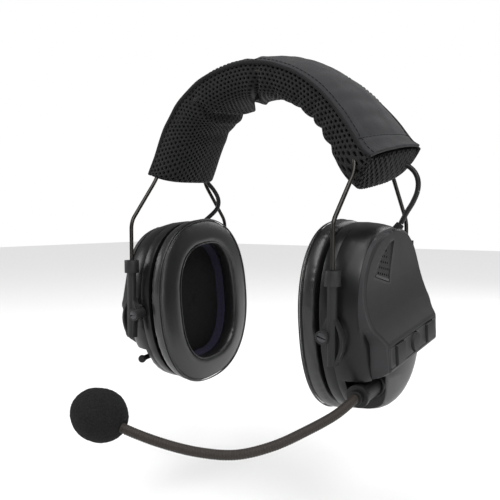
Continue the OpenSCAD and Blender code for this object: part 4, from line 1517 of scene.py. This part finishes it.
# Two lips of the outer weld and the piping round the opening: X, share and radius
weld_places = [(44.05, 0.975, 0.34), (45.15, 1.004, 0.34), (42.0, 0.035, 0.3)]
for side_name, side in (("left", 1), ("right", -1)):
    stations = [(x, between(share)) for x, share in cushion_section]
    cushion = ring_piece(side_name + "_leatherette_cushion", stations, side)
    swell(
        cushion, voxel_mm=1.7, pressure=4.0, cap_mm=0.5,
        held=lambda p: np.abs(p[:, 0]) > held_beyond_x,
    )
    set_on_cup(cushion, side_name, leatherette, "leatherette", side_name + "_ear_cushion")
    for number, (x, share, radius) in enumerate(weld_places):
        outline = between(share)
        turns = np.linspace(0, 2 * math.pi, 8, endpoint=False)
        middle = outline.mean(axis=0)
        away = (outline - middle) / np.linalg.norm(outline - middle, axis=1)[:, None]
        bead = [(x + radius * math.cos(t), outline + away * radius * math.sin(t)) for t in turns]
        weld = ring_piece(f"{side_name}_cushion_weld_{number + 1}", bead, side)
        set_on_cup(weld, side_name, leatherette, "leatherette")

# %% [markdown]
# ### Inside the opening
#
# A cushion's opening is lined with a band of bluish knitted cloth, and behind it
# lies a sheet of open black foam that keeps hair and dust off the speaker. The
# band follows the opening, and the foam is a closed, gently crowned sheet.

# %% Cloth band and foam
for side_name, side in (("left", 1), ("right", -1)):
    band_sections = [
        (50.4, 1.012), (52.2, 1.0), (54.0, 0.985), (55.4, 0.96), (55.9, 0.93), (56.3, 0.95), (55.6, 1.0),
        (53.5, 1.03), (50.4, 1.03),
    ]
    opening = oval(25.2, 34.2, hole_power, 120)
    stations = [(x, opening * share) for x, share in band_sections]
    band = ring_piece(side_name + "_ear_cloth_band", stations, side)
    set_on_cup(band, side_name, ear_cloth, "liner_cloth")
    shares = np.array([0.001, 0.2, 0.4, 0.6, 0.75, 0.86, 0.93, 0.965])
    top = [(55.0 + 0.9 * float(s) ** 4 - 0.15, opening * s) for s in shares]
    under = [(56.3, opening * s) for s in shares[::-1]]
    foam = ring_piece(side_name + "_ear_foam_sheet", top + under, side)
    dimpled = points_of(foam.data)
    for i, spot in enumerate(dimpled):
        if abs(spot[0]) < 56.0 * MM:
            lump = noise.noise(Vector(spot) * 260 + Vector((2, 5, 1)))
            dimpled[i, 0] += side * 0.35 * MM * lump
    move_points(foam.data, dimpled)
    set_on_cup(foam, side_name, ear_foam, "liner_cloth", side_name + "_ear_liner")

# %% [markdown]
# ## The outer panel
#
# The panel is one moulding with a gentle hollow that climbs to a ridge, and the
# three keys sit in the flat facet under the ridge. Its shape follows a rule: a
# side view gives how far it stands out at each height, and a front view gives
# how wide it is there. Rows of points run along the heights and columns across,
# closer together at the ridge and along the rim, where the surface turns. The
# rim drops away in a narrow chamfer that catches the light.

# %% Panel shape
panel_back_x = 73.1
panel_foot_z = -24.4
# The side view: Z, and how far out the panel stands there in X
side_view = [
    (43.2, 76.7), (39, 76.55), (34, 76.35), (30, 76.2), (26, 76.1), (22, 76.1), (18, 76.3), (14.5, 76.75),
    (11, 77.45), (7.5, 78.45), (4.5, 79.5), (1.5, 80.95), (-1, 82.3), (-3.2, 83.7), (-5.0, 84.95),
    (-6.0, 85.38), (-7.2, 85.5), (-17.8, 85.5), (-18.6, 85.3), (-19.2, 84.75), (-20.5, 82.9), (-22.5, 79.0),
    (panel_foot_z, 73.4),
]
view_z = np.array([z for z, x in side_view])[::-1]
view_x = np.array([x for z, x in side_view])[::-1]
panel_half_width = 35.7
panel_mid_z = 3.0
panel_height = 40.0
foot_view = [(-24.5, 29.0), (-18.5, 30.4), (-6.0, 31.0), (-3.5, 31.9), (-1.2, 33.4), (1.0, 35.0), (3.0, 35.7)]
foot_z = [z for z, y in foot_view]
foot_y = [y for z, y in foot_view]


def panel_half_y(z):
    """Half the panel's width at a height."""
    z = np.asarray(z, float)
    rise = np.clip((z - panel_mid_z) / panel_height, 0, 1)
    top = panel_half_width * (1 - rise ** shell_power) ** (1 / shell_power)
    return np.where(z >= panel_mid_z, top, np.interp(z, foot_z, foot_y))


def panel_stand(z):
    """How far out the panel stands at a height, in X."""
    return np.interp(z, view_z, view_x)


top_z = panel_mid_z + panel_height
rim_spots = [(panel_half_y(z).item(), z) for z in np.linspace(panel_foot_z, top_z - 1e-4, 400)]
rim_spots += [(-y, z) for y, z in rim_spots]
rim_spots = np.array(rim_spots)
chamfer = 1.4
chamfer_slope = 0.85
print("panel", round(2 * panel_half_width, 1), "mm wide and", round(top_z - panel_foot_z, 1), "mm high")


def panel_solid(name, inset, back_x, side):
    """A closed solid of the panel, drawn smaller by inset, with its rim chamfered."""
    z_rows = np.concatenate([
        top_z - inset - np.geomspace(0.02, 6, 22),
        np.arange(top_z - inset - 7, -4, -1.0),
        np.arange(-4, -8, -0.4),
        np.arange(-8, -17.4, -1.1),
        np.arange(-17.4, panel_foot_z + inset, -0.35),
    ])
    edge_steps = np.array([0, 0.25, 0.55, 0.9, 1.3, 1.8, 2.6, 3.8, 5.4])
    rows = []
    for z in z_rows:
        half = max(float(panel_half_y(z)) - inset, 0.3)
        steps = edge_steps * min(1, half / 8)
        middle = np.linspace(half - steps[-1], -(half - steps[-1]), 38)[1:-1]
        y = np.concatenate([half - steps, middle, -(half - steps[::-1])])
        x = np.full(len(y), float(panel_stand(z))) - inset
        if inset == 0:
            from_rim = np.min(np.hypot(y[:, None] - rim_spots[:, 0], z - rim_spots[:, 1]), axis=1)
            low_rim = max(0.0, z - panel_foot_z)
            x = x - np.clip(chamfer - from_rim, 0, chamfer) * chamfer_slope * min(1.0, low_rim / 2)
        rows.append(np.column_stack([side * x, y, np.full(len(y), z)]))
    columns = len(rows[0])
    count = len(rows)
    front = np.concatenate(rows)
    back = front.copy()
    back[:, 0] = side * back_x
    faces = grid_faces(count, columns)
    shift = len(front)
    faces += [tuple(shift + i for i in f[::-1]) for f in grid_faces(count, columns)]
    loop = list(range(columns))
    loop += [r * columns + columns - 1 for r in range(1, count)]
    loop += [(count - 1) * columns + c for c in range(columns - 2, -1, -1)]
    loop += [r * columns for r in range(count - 2, 0, -1)]
    faces += [(a, b, b + shift, a + shift) for a, b in zip(loop, loop[1:] + loop[:1])]
    return mesh_piece(name, np.concatenate([front, back]), faces)


def prism(name, outline, x_low, x_high, side):
    """A cutting prism along X over a (y, z) outline."""
    count = len(outline)
    places = [(side * x_low, y, z) for y, z in outline] + [(side * x_high, y, z) for y, z in outline]
    faces = [tuple(range(count)), tuple(range(2 * count - 1, count - 1, -1))]
    faces += [(i, (i + 1) % count, count + (i + 1) % count, count + i) for i in range(count)]
    return mesh_piece(name, places, faces, smooth=False)


def cut_away(piece, tools):
    """Cuts each tool out of a piece and removes the tools."""
    for tool in tools:
        cut = piece.modifiers.new("cut", "BOOLEAN")
        cut.operation = "DIFFERENCE"
        cut.solver = "EXACT"
        cut.object = tool
        finish_modifiers(piece)
        bpy.data.objects.remove(tool)


# %% [markdown]
# The pockets are cut with Boolean modifiers: a hollow behind the skin, a key
# hole for each key on the left cup, and a sunk triangle for the sound plate.
# Four hairline grooves frame the facet round the keys, as the real mould has.
# The outer key holes are squares with rounded corners and the middle one is
# round, like the keys in them.

# %% Cut and finish the panels
key_pitch = 19.0
key_size = 9.0
key_z = -12.2
key_gap = 0.6
key_corner = 0.9
skin = 2.2
pocket_x = 75.25
past_panel_x = 90
line_bottom_x = 85.1
line_y = 29.6
line_low_z = -17.5
line_high_z = -6.9
line_width = 0.4
badge_outline = [(1.2, 37.6), (-5, 37), (-12.3, 33.2), (-18, 28.6), (-22.3, 23.8), (-6.6, 18)]


def rounded_square(middle_y, middle_z, size, radius, steps=6):
    """Outline of a square with rounded corners."""
    half = size / 2 - radius
    spots = []
    for quarter, (sy, sz) in enumerate(((1, 1), (-1, 1), (-1, -1), (1, -1))):
        for k in range(steps + 1):
            turn = math.pi / 2 * (quarter + k / steps)
            y = middle_y + sy * half + radius * math.cos(turn)
            z = middle_z + sz * half + radius * math.sin(turn)
            spots.append((y, z))
    return spots


for side_name, side in (("left", 1), ("right", -1)):
    panel = panel_solid(side_name + "_outer_panel", 0.0, panel_back_x, side)
    tools = [panel_solid("hollow", skin, 70.0, side)]
    tools.append(prism("badge_pocket", badge_outline, pocket_x, past_panel_x, side))
    if side > 0:
        for k in (-1, 1):
            outline = rounded_square(k * key_pitch, key_z, key_size + 2 * key_gap, key_corner)
            tools.append(prism("key_hole", outline, 80, past_panel_x, side))
        radius = key_size / 2 + key_gap
        key_turns = np.linspace(0, 2 * math.pi, 40, endpoint=False)
        circle = [(radius * math.cos(t), key_z + radius * math.sin(t)) for t in key_turns]
        tools.append(prism("key_hole", circle, 80, past_panel_x, side))
        for low_z in (line_low_z, line_high_z - line_width):
            high_z = low_z + line_width
            bar = [(-line_y, low_z), (line_y, low_z), (line_y, high_z), (-line_y, high_z)]
            tools.append(prism("frame_line", bar, line_bottom_x, past_panel_x, side))
        for k in (-1, 1):
            far_y, near_y = k * line_y, k * (line_y - line_width)
            bar = [(far_y, line_low_z), (near_y, line_low_z), (near_y, line_high_z), (far_y, line_high_z)]
            tools.append(prism("frame_line", bar[::k], line_bottom_x, past_panel_x, side))
    cut_away(panel, tools)
    soft_edge = panel.modifiers.new("soft_edge", "BEVEL")
    soft_edge.width = 0.22 * MM
    soft_edge.segments = 2
    soft_edge.limit_method = "ANGLE"
    soft_edge.angle_limit = math.radians(50)
    finish_modifiers(panel)
    shade_smooth(panel.data)
    panel.data.set_sharp_from_angle(angle=math.radians(40))
    by_area = panel.modifiers.new("normals_by_area", "WEIGHTED_NORMAL")
    by_area.keep_sharp = True
    finish_modifiers(panel)
    set_on_cup(panel, side_name, textured_nylon, "panel_plastic", side_name + "_panel")

# %% [markdown]
# The sound plate lies at the bottom of the sunk triangle: a thin moulding with
# rows of round holes over the microphone that hears the room. A polished strip
# along its lower edge catches the light. It is left without any mark.

# %% Sound plates
badge_middle = np.mean(badge_outline, axis=0)
plate_share = 0.94
plate_top_x = 75.75
hole_rows = 5
hole_radius = 0.62
hole_turns = np.linspace(0, 2 * math.pi, 12, endpoint=False)
for side_name, side in (("left", 1), ("right", -1)):
    inset_outline = [tuple(badge_middle + (np.array(p) - badge_middle) * plate_share) for p in badge_outline]
    plate = prism(side_name + "_sound_plate", inset_outline, pocket_x, plate_top_x, side)
    holes = []
    for row in range(hole_rows):
        for column in range(hole_rows + 1 - row):
            y = -17.6 + 2.3 * column + 1.9 * row
            z = 24.9 - 0.7 * column + 2.4 * row
            circle = [(y + hole_radius * math.cos(t), z + hole_radius * math.sin(t)) for t in hole_turns]
            holes.append(prism("sound_hole", circle, 75.0, 77.0, side))
    cut_away(plate, holes)
    set_on_cup(plate, side_name, dark_moulding, "panel_plastic", side_name + "_panel_badge")
    low_edge = [(-21.4, 23.9), (-7.2, 18.7), (-6.9, 19.9), (-20.6, 24.9)]
    strip = prism(side_name + "_bright_strip", low_edge, 75.6, 76.2, side)
    set_on_cup(strip, side_name, blackened_steel, "panel_plastic")

# %% [markdown]
# ## The floor and the finish
#
# The headset is worn, not stood on a table, so it hangs in a plain white room.
# The floor is a large pale sheet, low enough to stay clear of the microphone
# when the boom is swung right down.

# %% Floor
boom_room = 62
floor_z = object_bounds()[0].z / MM - boom_room
far = 3000
floor_corners = [(-far, -far, floor_z), (far, -far, floor_z), (far, far, floor_z), (-far, far, floor_z)]
floor = mesh_piece("floor", floor_corners, [(0, 1, 2, 3)], smooth=False, outwards=False)
pale_floor, tree, shader = new_finish("floor_pale_paper", roughness=0.9)
shader.inputs["Base Color"].default_value = srgb("#eeeeee")
floor.data.materials.append(pale_floor)
print("floor at", round(floor_z, 1), "mm")
